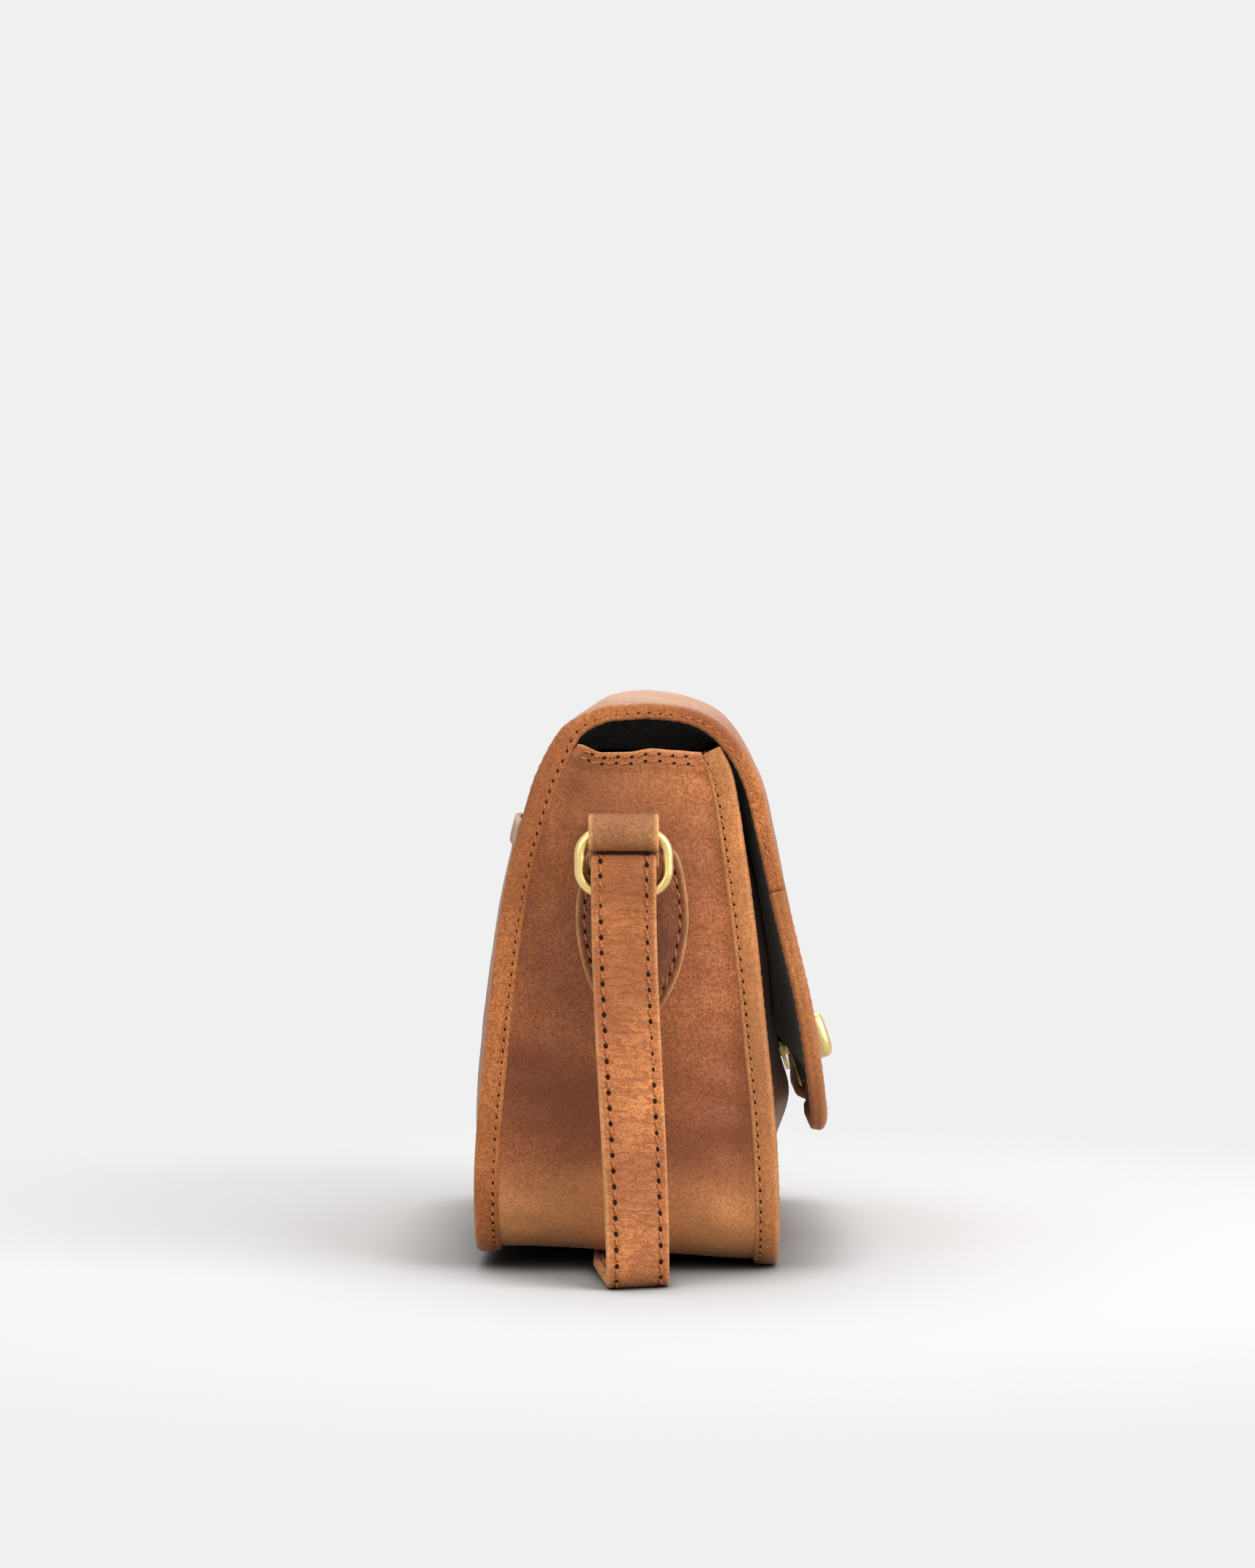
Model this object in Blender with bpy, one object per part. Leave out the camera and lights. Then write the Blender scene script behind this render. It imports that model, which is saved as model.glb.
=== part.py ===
"""Leather crossbody bag with a turn lock, built as separate pieces.

Metres, +Z up. The front faces -Y and the length lies along X. The origin is at
the bottom centre, on the surface that the bag stands on.
"""

import math

import bmesh
import bpy
from mathutils import Matrix, Vector

# Body of the bag
BODY_LENGTH = 0.250
BASE_DEPTH = 0.106
BACK_HEIGHT = 0.189
FRONT_HEIGHT = 0.179
FLAP_RISE = 0.008
FLAP_REACH_SHARE = 0.66
REAR_LIFT = 0.0045
CORNER_RADIUS = 0.038

# Leather, lining and the running gap between neighbours
LEATHER = 0.0018
LINING = 0.0008
FLAP_LINING = 0.0012
GAP = 0.0003
PAD_GAP = 0.0005
PLY_GAP = 0.0011
EDGE_GAP = 0.0011
HINGE_GAP = 0.0016
HINGE_STANDOFF = 0.003

# Rolled bindings: width along the side, thickness across the seam
BINDING_WIDTH = 0.0087
BINDING_THICKNESS = 0.0064
FLAP_BINDING_WIDTH = 0.0065
FLAP_BINDING_THICKNESS = 0.0056
BINDING_PROUD = 0.001

# How far the soft walls swell
BACK_CROWN = 0.010
BACK_INSET = 0.0062
FRONT_CROWN = 0.0115
FRONT_INSET = 0.0062
FLAP_CROWN = 0.0075
FLAP_INSET = 0.0015
GUSSET_CROWN = 0.005
GUSSET_SAG = 0.0005

# Slip pocket on the back
POCKET_HEIGHT = 0.158
POCKET_HEM_HEIGHT = 0.0095
POCKET_HEM_THICKNESS = 0.0034

# Ring and its leather tab
RING_WIRE_RADIUS = 0.00205
RING_WIDTH = 0.030
RING_HEIGHT = 0.0205
RING_CORNER = 0.007
RING_AXIS_HEIGHT = 0.1525
RING_SHIFT = 0.0008
TAB_THICKNESS = 0.0036
TAB_WIDTH = 0.0385
TAB_TOP = 0.149
TAB_BOTTOM = 0.087
LOOP_WIDTH = 0.0241
LOOP_BORE_RADIUS = 0.0044
LOOP_WALL = 0.0020

# Strap
STRAP_WIDTH = 0.0223
STRAP_THICKNESS = 0.0028
STRAP_EDGE = 0.0007
STRAP_EYE_RADIUS = 0.00355
STRAP_END_HEIGHT = 0.086
STRAP_LEAN = 0.026
STRAP_TWIST = math.radians(20)
STRAP_SHIFT = -0.005
FLOOR_BEND_RADIUS = 0.007
FOLD_LENGTH = 0.076
FOLD_START = 0.140
FOLD_GAP = 0.0004
FOLD_LAYERS = 6

# Strap buckle on the far side
BUCKLE_WIRE_RADIUS = 0.0015
BUCKLE_WIDTH = 0.0265
BUCKLE_HEIGHT = 0.022
BUCKLE_CORNER = 0.004
BUCKLE_BAR_HEIGHT = 0.072
BUCKLE_EYE_RADIUS = 0.0023
PRONG_RADIUS = 0.0011
PRONG_COLLAR = 0.0033
PRONG_OVERHANG = 0.0022
PRONG_SLOT_WIDTH = 0.0048
TAIL_SLOT_WIDTH = 0.0034
TAIL_TOP = 0.112
KEEPER_HEIGHT = 0.008
KEEPER_WALL = 0.0016
KEEPER_PLACE = 0.090

# Turn lock
LOCK_HEIGHT = 0.0693
LOCK_STANDOFF = 0.0009
FLAP_BELOW_LOCK = 0.0213
LOCK_TILT = math.radians(18)
PLATE_THICKNESS = 0.0014
BASE_PLATE_WIDTH = 0.024
BASE_PLATE_HEIGHT = 0.017
EYELET_WIDTH = 0.018
EYELET_HEIGHT = 0.0268
PLATE_CORNER = 0.0075
SLOT_WIDTH = 0.0104
SLOT_HEIGHT = 0.0216
SLOT_DROP = 0.0022
POST_RADIUS = 0.0034
SHANK_RADIUS = 0.0022
TOGGLE_LENGTH = 0.0175
TOGGLE_WIDTH = 0.0088
TOGGLE_SIDE = 0.0064
TOGGLE_DOME = 0.0019
TOGGLE_CLEARANCE = 0.0005
EYELET_STANDOFF = 0.0016
RETAINER_RADIUS = 0.0038
RETAINER_THICKNESS = 0.0008
SPRING_RADIUS = 0.0042
SPRING_THICKNESS = 0.0005
SCREW_RADIUS = 0.0009
SCREW_SPREAD = 0.0121
BASE_SEAT_RADIUS = 0.0165
BASE_SEAT_FADE = 0.014
FLAP_SEAT_RADIUS = 0.019
FLAP_SEAT_FADE = 0.036

# Smoothness of the solids
SHEET_COLUMNS = 12
BACK_ROWS = 10
FLAP_ROWS = 17
FRONT_ROWS = 13
GUSSET_ACROSS = 4
SPAN_STEPS = 5
CORNER_STEPS = 6
STRAIGHT_STEPS = 7
BASE_STEPS = 12
WIRE_SIDES = 8
ROUND_SIDES = 20

# Side outline of the back binding, from its foot to the flap's hinge, as shares
# of the base depth and the back height
BACK_OUTLINE_SHARES = (
    (0.498, 0.024), (0.498, 0.150), (0.489, 0.265), (0.458, 0.447), (0.431, 0.582),
    (0.402, 0.693), (0.369, 0.778), (0.333, 0.847), (0.290, 0.921), (0.206, 1.000),
)
# Side outline of the flap from the hinge over the top to its tip: depth from the
# hinge as shares of the reach, heights as shares of the rise and then of the drop
FLAP_TOP_SHARES = (
    (0.134, 0.800), (0.050, 0.930), (-0.042, 0.985), (-0.123, 1.000), (-0.309, 0.800),
)
FLAP_FRONT_SHARES = (
    (-0.457, -0.010), (-0.577, 0.057), (-0.663, 0.145), (-0.721, 0.262), (-0.783, 0.399),
    (-0.841, 0.520), (-0.914, 0.674), (-0.961, 0.816), (-0.997, 0.960), (-0.986, 1.000),
)
# Side outline of the front binding, as shares of the base depth and front height
FRONT_OUTLINE_SHARES = (
    (-0.500, 0.000), (-0.499, 0.130), (-0.486, 0.295), (-0.458, 0.464), (-0.428, 0.637),
    (-0.391, 0.808), (-0.352, 0.955), (-0.318, 1.000),
)
# How full the crown of each wall is along its height, from the foot up
BACK_FULLNESS_SHARES = (0.30, 0.75, 0.98, 1.00, 0.95, 0.80, 0.55, 0.38)
FLAP_FULLNESS_SHARES = (0.50, 0.95, 1.00, 1.00, 0.85, 0.55, 0.30, 0.15, 0.10)
FRONT_FULLNESS_SHARES = (0.35, 0.85, 1.00, 0.98, 0.85, 0.65, 0.40, 0.20)
# Outline of the ring tab's patch, as shares of half its width and of its height
TAB_OUTLINE_SHARES = (
    (0.62, 1.00), (0.86, 0.90), (1.00, 0.66), (0.98, 0.46), (0.80, 0.24),
    (0.46, 0.06), (0.00, 0.00),
)
BINDING_JOINT_SHARE = 0.40
CROWN_POWER = 2.4

# Colours
TAN = (0.46, 0.19, 0.075)
INNER_BLACK = (0.03, 0.024, 0.02)
CLOTH_BLACK = (0.02, 0.018, 0.016)
BRASS = (0.72, 0.55, 0.25)
STEEL = (0.55, 0.55, 0.56)

HALF_LENGTH = BODY_LENGTH / 2
FLAP_REACH = BASE_DEPTH * FLAP_REACH_SHARE
FLAP_DROP = BACK_HEIGHT - LOCK_HEIGHT + FLAP_BELOW_LOCK
GUSSET_FACE = HALF_LENGTH - BINDING_PROUD
TAB_BACK = GUSSET_FACE + GUSSET_CROWN + GAP
EYE_OUTER = STRAP_EYE_RADIUS + STRAP_THICKNESS
RING_PLANE = TAB_BACK + TAB_THICKNESS + GAP + EYE_OUTER
LAYER_PITCH = STRAP_THICKNESS + FOLD_GAP


def clear_scene():
    """Remove every object from the scene."""
    for item in list(bpy.data.objects):
        bpy.data.objects.remove(item, do_unlink=True)


def finish_material(name, colour, roughness, metallic):
    """Make one Principled material."""
    material = bpy.data.materials.new(name)
    material.use_nodes = True
    shader = material.node_tree.nodes["Principled BSDF"]
    shader.inputs["Base Color"].default_value = (*colour, 1.0)
    shader.inputs["Roughness"].default_value = roughness
    shader.inputs["Metallic"].default_value = metallic
    return material


def add_object(name, mesh_builder, colour=TAN, roughness=0.6, metallic=0.0, smooth=False):
    """Put a bmesh in the scene as one named piece with its own material."""
    mesh = bpy.data.meshes.new(name)
    bmesh.ops.recalc_face_normals(mesh_builder, faces=mesh_builder.faces[:])
    mesh_builder.to_mesh(mesh)
    mesh_builder.free()
    piece = bpy.data.objects.new(name, mesh)
    bpy.context.collection.objects.link(piece)
    mesh.materials.append(finish_material(name, colour, roughness, metallic))
    if smooth:
        mesh.shade_smooth()
        mesh.set_sharp_from_angle(angle=math.radians(40))
    return piece


def add_brass(name, mesh_builder):
    """Put a brass piece in the scene."""
    return add_object(name, mesh_builder, BRASS, 0.32, 1.0, smooth=True)


def smooth_step(value):
    """Ease from 0 to 1."""
    value = min(max(value, 0.0), 1.0)
    return value * value * (3 - 2 * value)


def table_value(shares, place):
    """Read a table of evenly spaced shares at a place from 0 to 1."""
    place = min(max(place, 0.0), 1.0) * (len(shares) - 1)
    index = min(int(place), len(shares) - 2)
    rest = smooth_step(place - index)
    return shares[index] * (1 - rest) + shares[index + 1] * rest


def spline(points, steps=SPAN_STEPS):
    """Points on a smooth curve through the given ones."""
    padded = [points[0] * 2 - points[1], *points, points[-1] * 2 - points[-2]]
    curve = []
    for index in range(1, len(padded) - 2):
        before, start, end, after = padded[index - 1:index + 3]
        for step in range(steps):
            t = step / steps
            curve.append(0.5 * (
                2 * start + (end - before) * t
                + (2 * before - 5 * start + 4 * end - after) * t ** 2
                + (3 * start - before - 3 * end + after) * t ** 3))
    curve.append(points[-1].copy())
    return curve


class SideLine:
    """A side outline (y, z) that is read by the distance along it."""

    def __init__(self, points, outward):
        self.points = points
        self.outward = outward
        self.marks = [0.0]
        for first, second in zip(points, points[1:]):
            self.marks.append(self.marks[-1] + (second - first).length)
        self.length = self.marks[-1]

    def point(self, distance):
        """The (y, z) point at a distance, run on straight past the ends."""
        last = len(self.marks) - 2
        index = 0
        while index < last and self.marks[index + 1] < distance:
            index += 1
        span = self.marks[index + 1] - self.marks[index]
        rest = (distance - self.marks[index]) / span
        return self.points[index].lerp(self.points[index + 1], rest)

    def normal(self, distance):
        """The outward normal (y, z), taken over a short reach either side."""
        reach = self.length / len(self.points)
        run = (self.point(distance + reach) - self.point(distance - reach)).normalized()
        return Vector((run.y, -run.x)) * self.outward


def outline(shares, depth, height):
    """Turn shares into (y, z) points."""
    return [Vector((share_y * depth, share_z * height)) for share_y, share_z in shares]


BACK_POINTS = outline(BACK_OUTLINE_SHARES, BASE_DEPTH, BACK_HEIGHT)
FLAP_POINTS = [
    Vector((share_y * FLAP_REACH, BACK_HEIGHT + share_z * FLAP_RISE))
    for share_y, share_z in FLAP_TOP_SHARES
] + [
    Vector((share_y * FLAP_REACH, BACK_HEIGHT - share_z * FLAP_DROP))
    for share_y, share_z in FLAP_FRONT_SHARES
]
BACK_START = BACK_POINTS[0].copy()
BACK_START.y = REAR_LIFT
WHOLE_POINTS = spline([BACK_START, *BACK_POINTS[1:], *FLAP_POINTS])
HINGE_INDEX = (len(BACK_POINTS) - 1) * SPAN_STEPS
BACK_FLAP_LINE = SideLine(WHOLE_POINTS, 1)
HINGE_DISTANCE = BACK_FLAP_LINE.marks[HINGE_INDEX]
FRONT_LINE = SideLine(spline(outline(FRONT_OUTLINE_SHARES, BASE_DEPTH, FRONT_HEIGHT)), -1)


def lock_reach():
    """How far the middle of the front panel stands forward at the lock's height."""
    distance = FRONT_LINE.length * LOCK_HEIGHT / FRONT_HEIGHT
    for _ in range(SPAN_STEPS):
        distance += LOCK_HEIGHT - FRONT_LINE.point(distance).y
    full = table_value(FRONT_FULLNESS_SHARES, distance / FRONT_LINE.length) * FRONT_CROWN
    return LOCK_STANDOFF + full - FRONT_INSET - FRONT_LINE.point(distance).x


LOCK_REACH = lock_reach()
LOCK_TURN = Matrix.Rotation(math.pi / 2 - LOCK_TILT, 4, "X")
LOCK_PLACE = Matrix.Translation((0, -LOCK_REACH, LOCK_HEIGHT)) @ LOCK_TURN
LOCK_INVERSE = LOCK_PLACE.inverted()
LOCK_AXIS = Vector((0, -math.cos(LOCK_TILT), math.sin(LOCK_TILT)))

# Heights of the lock's pieces above the front panel, along the lock's axis
BASE_LOW = PAD_GAP
BASE_HIGH = BASE_LOW + PLATE_THICKNESS
EYELET_BACK_LOW = BASE_HIGH + EYELET_STANDOFF
EYELET_BACK_HIGH = EYELET_BACK_LOW + PLATE_THICKNESS
FLAP_LINING_LOW = EYELET_BACK_HIGH + PAD_GAP
FLAP_LINING_HIGH = FLAP_LINING_LOW + FLAP_LINING
FLAP_OUTER_HIGH = FLAP_LINING_HIGH + PLY_GAP + LEATHER
EYELET_FRONT_LOW = FLAP_OUTER_HIGH + PAD_GAP
EYELET_FRONT_HIGH = EYELET_FRONT_LOW + PLATE_THICKNESS
TOGGLE_LOW = EYELET_FRONT_HIGH + TOGGLE_CLEARANCE
PANEL_BACK = -LEATHER
BACKING_HIGH = PANEL_BACK - PAD_GAP
BACKING_LOW = BACKING_HIGH - PLATE_THICKNESS


def lock_pull(point, radius, fade):
    """How strongly the lock's plane draws a point: 1 near the lock, 0 far away."""
    local = LOCK_INVERSE @ point
    return 1 - smooth_step((math.hypot(local.x, local.y) - radius) / fade)


def seat_on_lock(point, height, radius, fade):
    """Draw a point of a wall onto the lock's plane near the lock."""
    local = LOCK_INVERSE @ point
    local.z += (height - local.z) * lock_pull(point, radius, fade)
    return LOCK_PLACE @ local


def corner_half_width(half_width, radius, distance):
    """Half width of a wall with rounded lower corners, at a distance from its foot."""
    if distance >= radius:
        return half_width
    drop = radius - max(distance, 0.0)
    return half_width - radius + math.sqrt(max(radius ** 2 - drop ** 2, 0.0))


def add_sheet(name, place, rows, thickness, colour=TAN, roughness=0.6, columns=SHEET_COLUMNS):
    """A thin wall: a grid laid by place(u, v) and given its thickness inwards."""
    builder = bmesh.new()
    bmesh.ops.create_grid(builder, x_segments=columns, y_segments=rows, size=1)
    for vertex in builder.verts:
        vertex.co = place(vertex.co.x, (vertex.co.y + 1) / 2)
    piece = add_object(name, builder, colour, roughness)
    solid = piece.modifiers.new("wall", "SOLIDIFY")
    solid.thickness = thickness
    solid.offset = -1
    solid.use_even_offset = True
    return piece


def face_out(piece, direction):
    """Turn a sheet's faces over if they look the wrong way."""
    mesh = piece.data
    total = Vector()
    for face in mesh.polygons:
        total += face.normal * face.area
    if total.dot(direction) < 0:
        mesh.flip_normals()


def back_offset(place, across):
    """How far the back and flap leather stands in (-) or out of the side outline."""
    back_share = HINGE_DISTANCE / BACK_FLAP_LINE.length
    if place < back_share:
        local = place / back_share
        full = table_value(BACK_FULLNESS_SHARES, local) * BACK_CROWN
    else:
        local = (place - back_share) / (1 - back_share)
        full = table_value(FLAP_FULLNESS_SHARES, local) * FLAP_CROWN
    ease = smooth_step((place / back_share - 0.72) / 0.28)
    inset = BACK_INSET * (1 - ease) + FLAP_INSET * ease
    return full * (1 - abs(across) ** CROWN_POWER) - inset


def back_wall_point(distance, across, half_width, proud):
    """A point of the back and flap leather."""
    line = BACK_FLAP_LINE
    point = line.point(distance)
    normal = line.normal(distance)
    out = back_offset(distance / line.length, across) + proud
    flat = point + normal * out
    return Vector((across * half_width, flat.x, flat.y))


def front_wall_point(distance, across, half_width, proud):
    """A point of the front panel's leather."""
    line = FRONT_LINE
    place = distance / line.length
    full = table_value(FRONT_FULLNESS_SHARES, place) * FRONT_CROWN
    out = full * (1 - abs(across) ** CROWN_POWER) - FRONT_INSET + proud
    flat = line.point(distance) + line.normal(distance) * out
    return Vector((across * half_width, flat.x, flat.y))


PANEL_HALF = HALF_LENGTH - BINDING_THICKNESS - GAP
PANEL_CORNER = CORNER_RADIUS - BINDING_THICKNESS - GAP
PANEL_FOOT = BINDING_THICKNESS + GAP
FLAP_HALF = HALF_LENGTH - FLAP_BINDING_WIDTH - EDGE_GAP
FLAP_CORNER = CORNER_RADIUS - FLAP_BINDING_WIDTH - EDGE_GAP
FLAP_FOOT = FLAP_BINDING_WIDTH + EDGE_GAP * 1.5


def add_panels():
    """Front panel, back panel, slip pocket, flap leather and flap lining."""
    def front(u, v):
        distance = PANEL_FOOT + v * (FRONT_LINE.length - PANEL_FOOT)
        half = corner_half_width(PANEL_HALF, PANEL_CORNER, distance - PANEL_FOOT)
        return seat_on_lock(
            front_wall_point(distance, u, half, 0), 0, BASE_SEAT_RADIUS, BASE_SEAT_FADE)

    face_out(add_sheet("front_panel", front, FRONT_ROWS, LEATHER), Vector((0, -1, 0)))

    def back(u, v):
        distance = PANEL_FOOT + v * (HINGE_DISTANCE - PANEL_FOOT)
        half = corner_half_width(PANEL_HALF, PANEL_CORNER, distance - PANEL_FOOT)
        return back_wall_point(distance, u, half, 0)

    face_out(add_sheet("back_panel", back, BACK_ROWS, LEATHER), Vector((0, 1, 0)))

    pocket_top = POCKET_HEIGHT - REAR_LIFT - POCKET_HEM_HEIGHT

    def pocket(u, v):
        distance = PANEL_FOOT + v * (pocket_top - PANEL_FOOT)
        half = corner_half_width(PANEL_HALF, PANEL_CORNER, distance - PANEL_FOOT)
        return back_wall_point(distance, u, half, PAD_GAP + LEATHER)

    face_out(add_sheet("back_pocket", pocket, BACK_ROWS, LEATHER), Vector((0, 1, 0)))

    def hem(u, v):
        distance = pocket_top + GAP + v * POCKET_HEM_HEIGHT
        return back_wall_point(distance, u, PANEL_HALF, PAD_GAP + POCKET_HEM_THICKNESS)

    face_out(add_sheet("back_pocket_hem", hem, 2, POCKET_HEM_THICKNESS), Vector((0, 1, 0)))

    flap_length = BACK_FLAP_LINE.length - HINGE_DISTANCE

    def flap_at(u, v, depth, lock_height):
        distance = HINGE_DISTANCE + HINGE_GAP + v * (flap_length - FLAP_FOOT - HINGE_GAP)
        from_tip = BACK_FLAP_LINE.length - distance - FLAP_FOOT
        half = corner_half_width(FLAP_HALF, FLAP_CORNER, from_tip)
        return seat_on_lock(
            back_wall_point(distance, u, half, -depth), lock_height,
            FLAP_SEAT_RADIUS, FLAP_SEAT_FADE)

    def flap(u, v):
        return flap_at(u, v, 0, FLAP_OUTER_HIGH)

    def flap_lining(u, v):
        return flap_at(u, v, LEATHER + PLY_GAP, FLAP_LINING_HIGH)

    outward = Vector((0, -1, 0.5))
    face_out(add_sheet("flap", flap, FLAP_ROWS, LEATHER), outward)
    lining = add_sheet("flap_lining", flap_lining, FLAP_ROWS, FLAP_LINING, INNER_BLACK)
    face_out(lining, outward)


def u_path(half_width, height, radius, top_steps=STRAIGHT_STEPS):
    """A U outline (x, distance from the foot) with its outward direction."""
    stations = []
    for step in range(top_steps):
        distance = height + (radius - height) * step / top_steps
        stations.append((-half_width, distance, Vector((-1, 0))))
    for step in range(CORNER_STEPS + 1):
        angle = math.pi + math.pi / 2 * step / CORNER_STEPS
        out = Vector((math.cos(angle), math.sin(angle)))
        stations.append((-half_width + radius + out.x * radius, radius + out.y * radius, out))
    left = list(stations)
    for step in range(1, BASE_STEPS):
        x = (-half_width + radius) * (1 - 2 * step / BASE_STEPS)
        stations.append((x, 0.0, Vector((0, -1))))
    for x, distance, out in reversed(left):
        stations.append((-x, distance, Vector((-out.x, out.y))))
    return stations


def extrude_cap(builder, cap, keep):
    """Extrude one face and return its copy; the old face goes unless it is kept."""
    made = bmesh.ops.extrude_face_region(builder, geom=[cap])["geom"]
    fresh = [item for item in made if isinstance(item, bmesh.types.BMFace)][0]
    if cap.is_valid and not keep:
        bmesh.ops.delete(builder, geom=[cap], context="FACES_ONLY")
    return fresh


def sweep(stations, section):
    """Extrude a closed section from station to station.

    Each station is a centre and two directions, and the section is a list of
    places along those directions.
    """
    def places(station):
        centre, first, second = station
        return [centre + first * a + second * b for a, b in section]

    builder = bmesh.new()
    ring = [builder.verts.new(place) for place in places(stations[0])]
    cap = builder.faces.new(ring)
    order = {vertex: index for index, vertex in enumerate(ring)}
    for index, station in enumerate(stations[1:]):
        old_cap = cap
        cap = extrude_cap(builder, old_cap, keep=index == 0)
        spots = places(station)
        fresh = {}
        for vertex in cap.verts:
            twin = next(edge.other_vert(vertex) for edge in vertex.link_edges
                        if edge.other_vert(vertex) in order)
            fresh[vertex] = order[twin]
        for vertex, place in fresh.items():
            vertex.co = spots[place]
        order = fresh
    return builder


def close_sweep(builder):
    """Join the two end caps of a sweep whose ends lie together."""
    caps = [face for face in builder.faces if len(face.verts) > 4]
    bmesh.ops.delete(builder, geom=caps, context="FACES_ONLY")
    bmesh.ops.remove_doubles(builder, verts=builder.verts[:], dist=GAP / 10)
    return builder


def rounded_section(half_a, half_b, corner):
    """A rectangle with its corners cut, as eight points."""
    return [
        (half_a, -half_b + corner), (half_a, half_b - corner),
        (half_a - corner, half_b), (-half_a + corner, half_b),
        (-half_a, half_b - corner), (-half_a, -half_b + corner),
        (-half_a + corner, -half_b), (half_a - corner, -half_b),
    ]


def round_section(radius, sides=WIRE_SIDES):
    """A circle of points."""
    return [
        (radius * math.cos(2 * math.pi * side / sides), radius * math.sin(2 * math.pi * side / sides))
        for side in range(sides)
    ]


def binding_stations(line, path, foot, width, thickness):
    """Centres and directions of a binding that follows a wall's edge."""
    stations = []
    for x, height, out in path:
        distance = foot(height)
        point = line.point(distance)
        normal = line.normal(distance)
        run = Vector((normal.y, -normal.x))
        if run.y < 0:
            run = -run
        along = Vector((0, normal.x, normal.y))
        edge = Vector((out.x, run.x * out.y, run.y * out.y)).normalized()
        centre = Vector((x, point.x, point.y)) - along * width / 2 - edge * thickness / 2
        stations.append((centre, along, edge))
    return stations


def add_bindings():
    """The rolled strips round the front panel, the back panel and the flap."""
    body_section = rounded_section(BINDING_WIDTH / 2, BINDING_THICKNESS / 2, BINDING_THICKNESS / 4)
    front_path = u_path(HALF_LENGTH, FRONT_LINE.length, CORNER_RADIUS)
    stations = binding_stations(
        FRONT_LINE, front_path, lambda height: height, BINDING_WIDTH, BINDING_THICKNESS)
    add_object("front_binding", sweep(stations, body_section))

    back_path = u_path(HALF_LENGTH, HINGE_DISTANCE, CORNER_RADIUS, STRAIGHT_STEPS * 2)
    stations = binding_stations(
        BACK_FLAP_LINE, back_path, lambda height: height, BINDING_WIDTH, BINDING_THICKNESS)
    add_object("back_binding", sweep(stations, body_section))

    flap_section = rounded_section(
        FLAP_BINDING_THICKNESS / 2, FLAP_BINDING_WIDTH / 2, FLAP_BINDING_THICKNESS / 4)
    flap_length = BACK_FLAP_LINE.length - HINGE_DISTANCE
    joint = flap_length * BINDING_JOINT_SHARE
    path = u_path(HALF_LENGTH, flap_length - joint, CORNER_RADIUS)

    def from_tip(height):
        return BACK_FLAP_LINE.length - height

    def flap_stations(route):
        stations = []
        for x, height, out in route:
            distance = from_tip(height)
            point = BACK_FLAP_LINE.point(distance)
            normal = BACK_FLAP_LINE.normal(distance)
            run = Vector((-normal.y, normal.x))
            along = Vector((0, normal.x, normal.y))
            edge = Vector((out.x, -run.x * out.y, -run.y * out.y)).normalized()
            centre = (Vector((x, point.x, point.y)) - along * FLAP_BINDING_THICKNESS / 2
                      - edge * FLAP_BINDING_WIDTH / 2)
            pull = lock_pull(centre, FLAP_SEAT_RADIUS, FLAP_SEAT_FADE)
            centre = seat_on_lock(
                centre, (FLAP_LINING_LOW + FLAP_OUTER_HIGH) / 2,
                FLAP_SEAT_RADIUS, FLAP_SEAT_FADE)
            along = along.lerp(LOCK_AXIS, pull).normalized()
            edge = (edge - along * edge.dot(along)).normalized()
            stations.append((centre, along, edge))
        return stations

    add_object("flap_binding_front", sweep(flap_stations(path), flap_section))
    for side, label in ((-1, "left"), (1, "right")):
        steps = STRAIGHT_STEPS * 2
        low = flap_length - joint + GAP
        high = flap_length - HINGE_GAP
        route = [
            (side * HALF_LENGTH, low + (high - low) * step / steps, Vector((side, 0)))
            for step in range(steps + 1)
        ]
        add_object("flap_binding_" + label, sweep(flap_stations(route), flap_section))


def gusset_point(x, height, out, v, depth):
    """A point of the gusset between the two bindings, at a depth below its face."""
    front_distance = height
    back_distance = height * HINGE_DISTANCE / FRONT_LINE.length
    front = FRONT_LINE.point(front_distance)
    back = BACK_FLAP_LINE.point(back_distance)
    front_in = front - FRONT_LINE.normal(front_distance) * (BINDING_WIDTH + GAP)
    back_in = back - BACK_FLAP_LINE.normal(back_distance) * (BINDING_WIDTH + GAP)
    flat = front_in.lerp(back_in, v)
    level = max(-out.y, 0.0)
    swell = GUSSET_CROWN * (1 - level) - GUSSET_SAG * level
    proud = swell * 4 * v * (1 - v) - depth
    return Vector((x + out.x * proud, flat.x, flat.y + out.y * proud))


def add_gusset():
    """The strip that makes the two sides and the bottom."""
    height = FRONT_LINE.length
    path = u_path(GUSSET_FACE, height, CORNER_RADIUS - BINDING_PROUD)
    lift = BINDING_PROUD + STRAP_THICKNESS
    count = len(path) - 1

    def place(u, v):
        index = round((u + 1) / 2 * count)
        x, distance, out = path[index]
        point = gusset_point(x, distance, out, v, 0)
        level = 1 - smooth_step(distance / CORNER_RADIUS)
        point.z += lift * level
        return point

    piece = add_sheet("gusset", place, GUSSET_ACROSS, LEATHER, columns=count)
    face_out_from_centre(piece)


def face_out_from_centre(piece):
    """Turn a U strip's faces away from the middle of the bag."""
    middle = Vector((0, 0, FRONT_HEIGHT))
    total = 0.0
    for face in piece.data.polygons:
        total += face.normal.dot(face.center - middle) * face.area
    if total < 0:
        piece.data.flip_normals()


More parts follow.
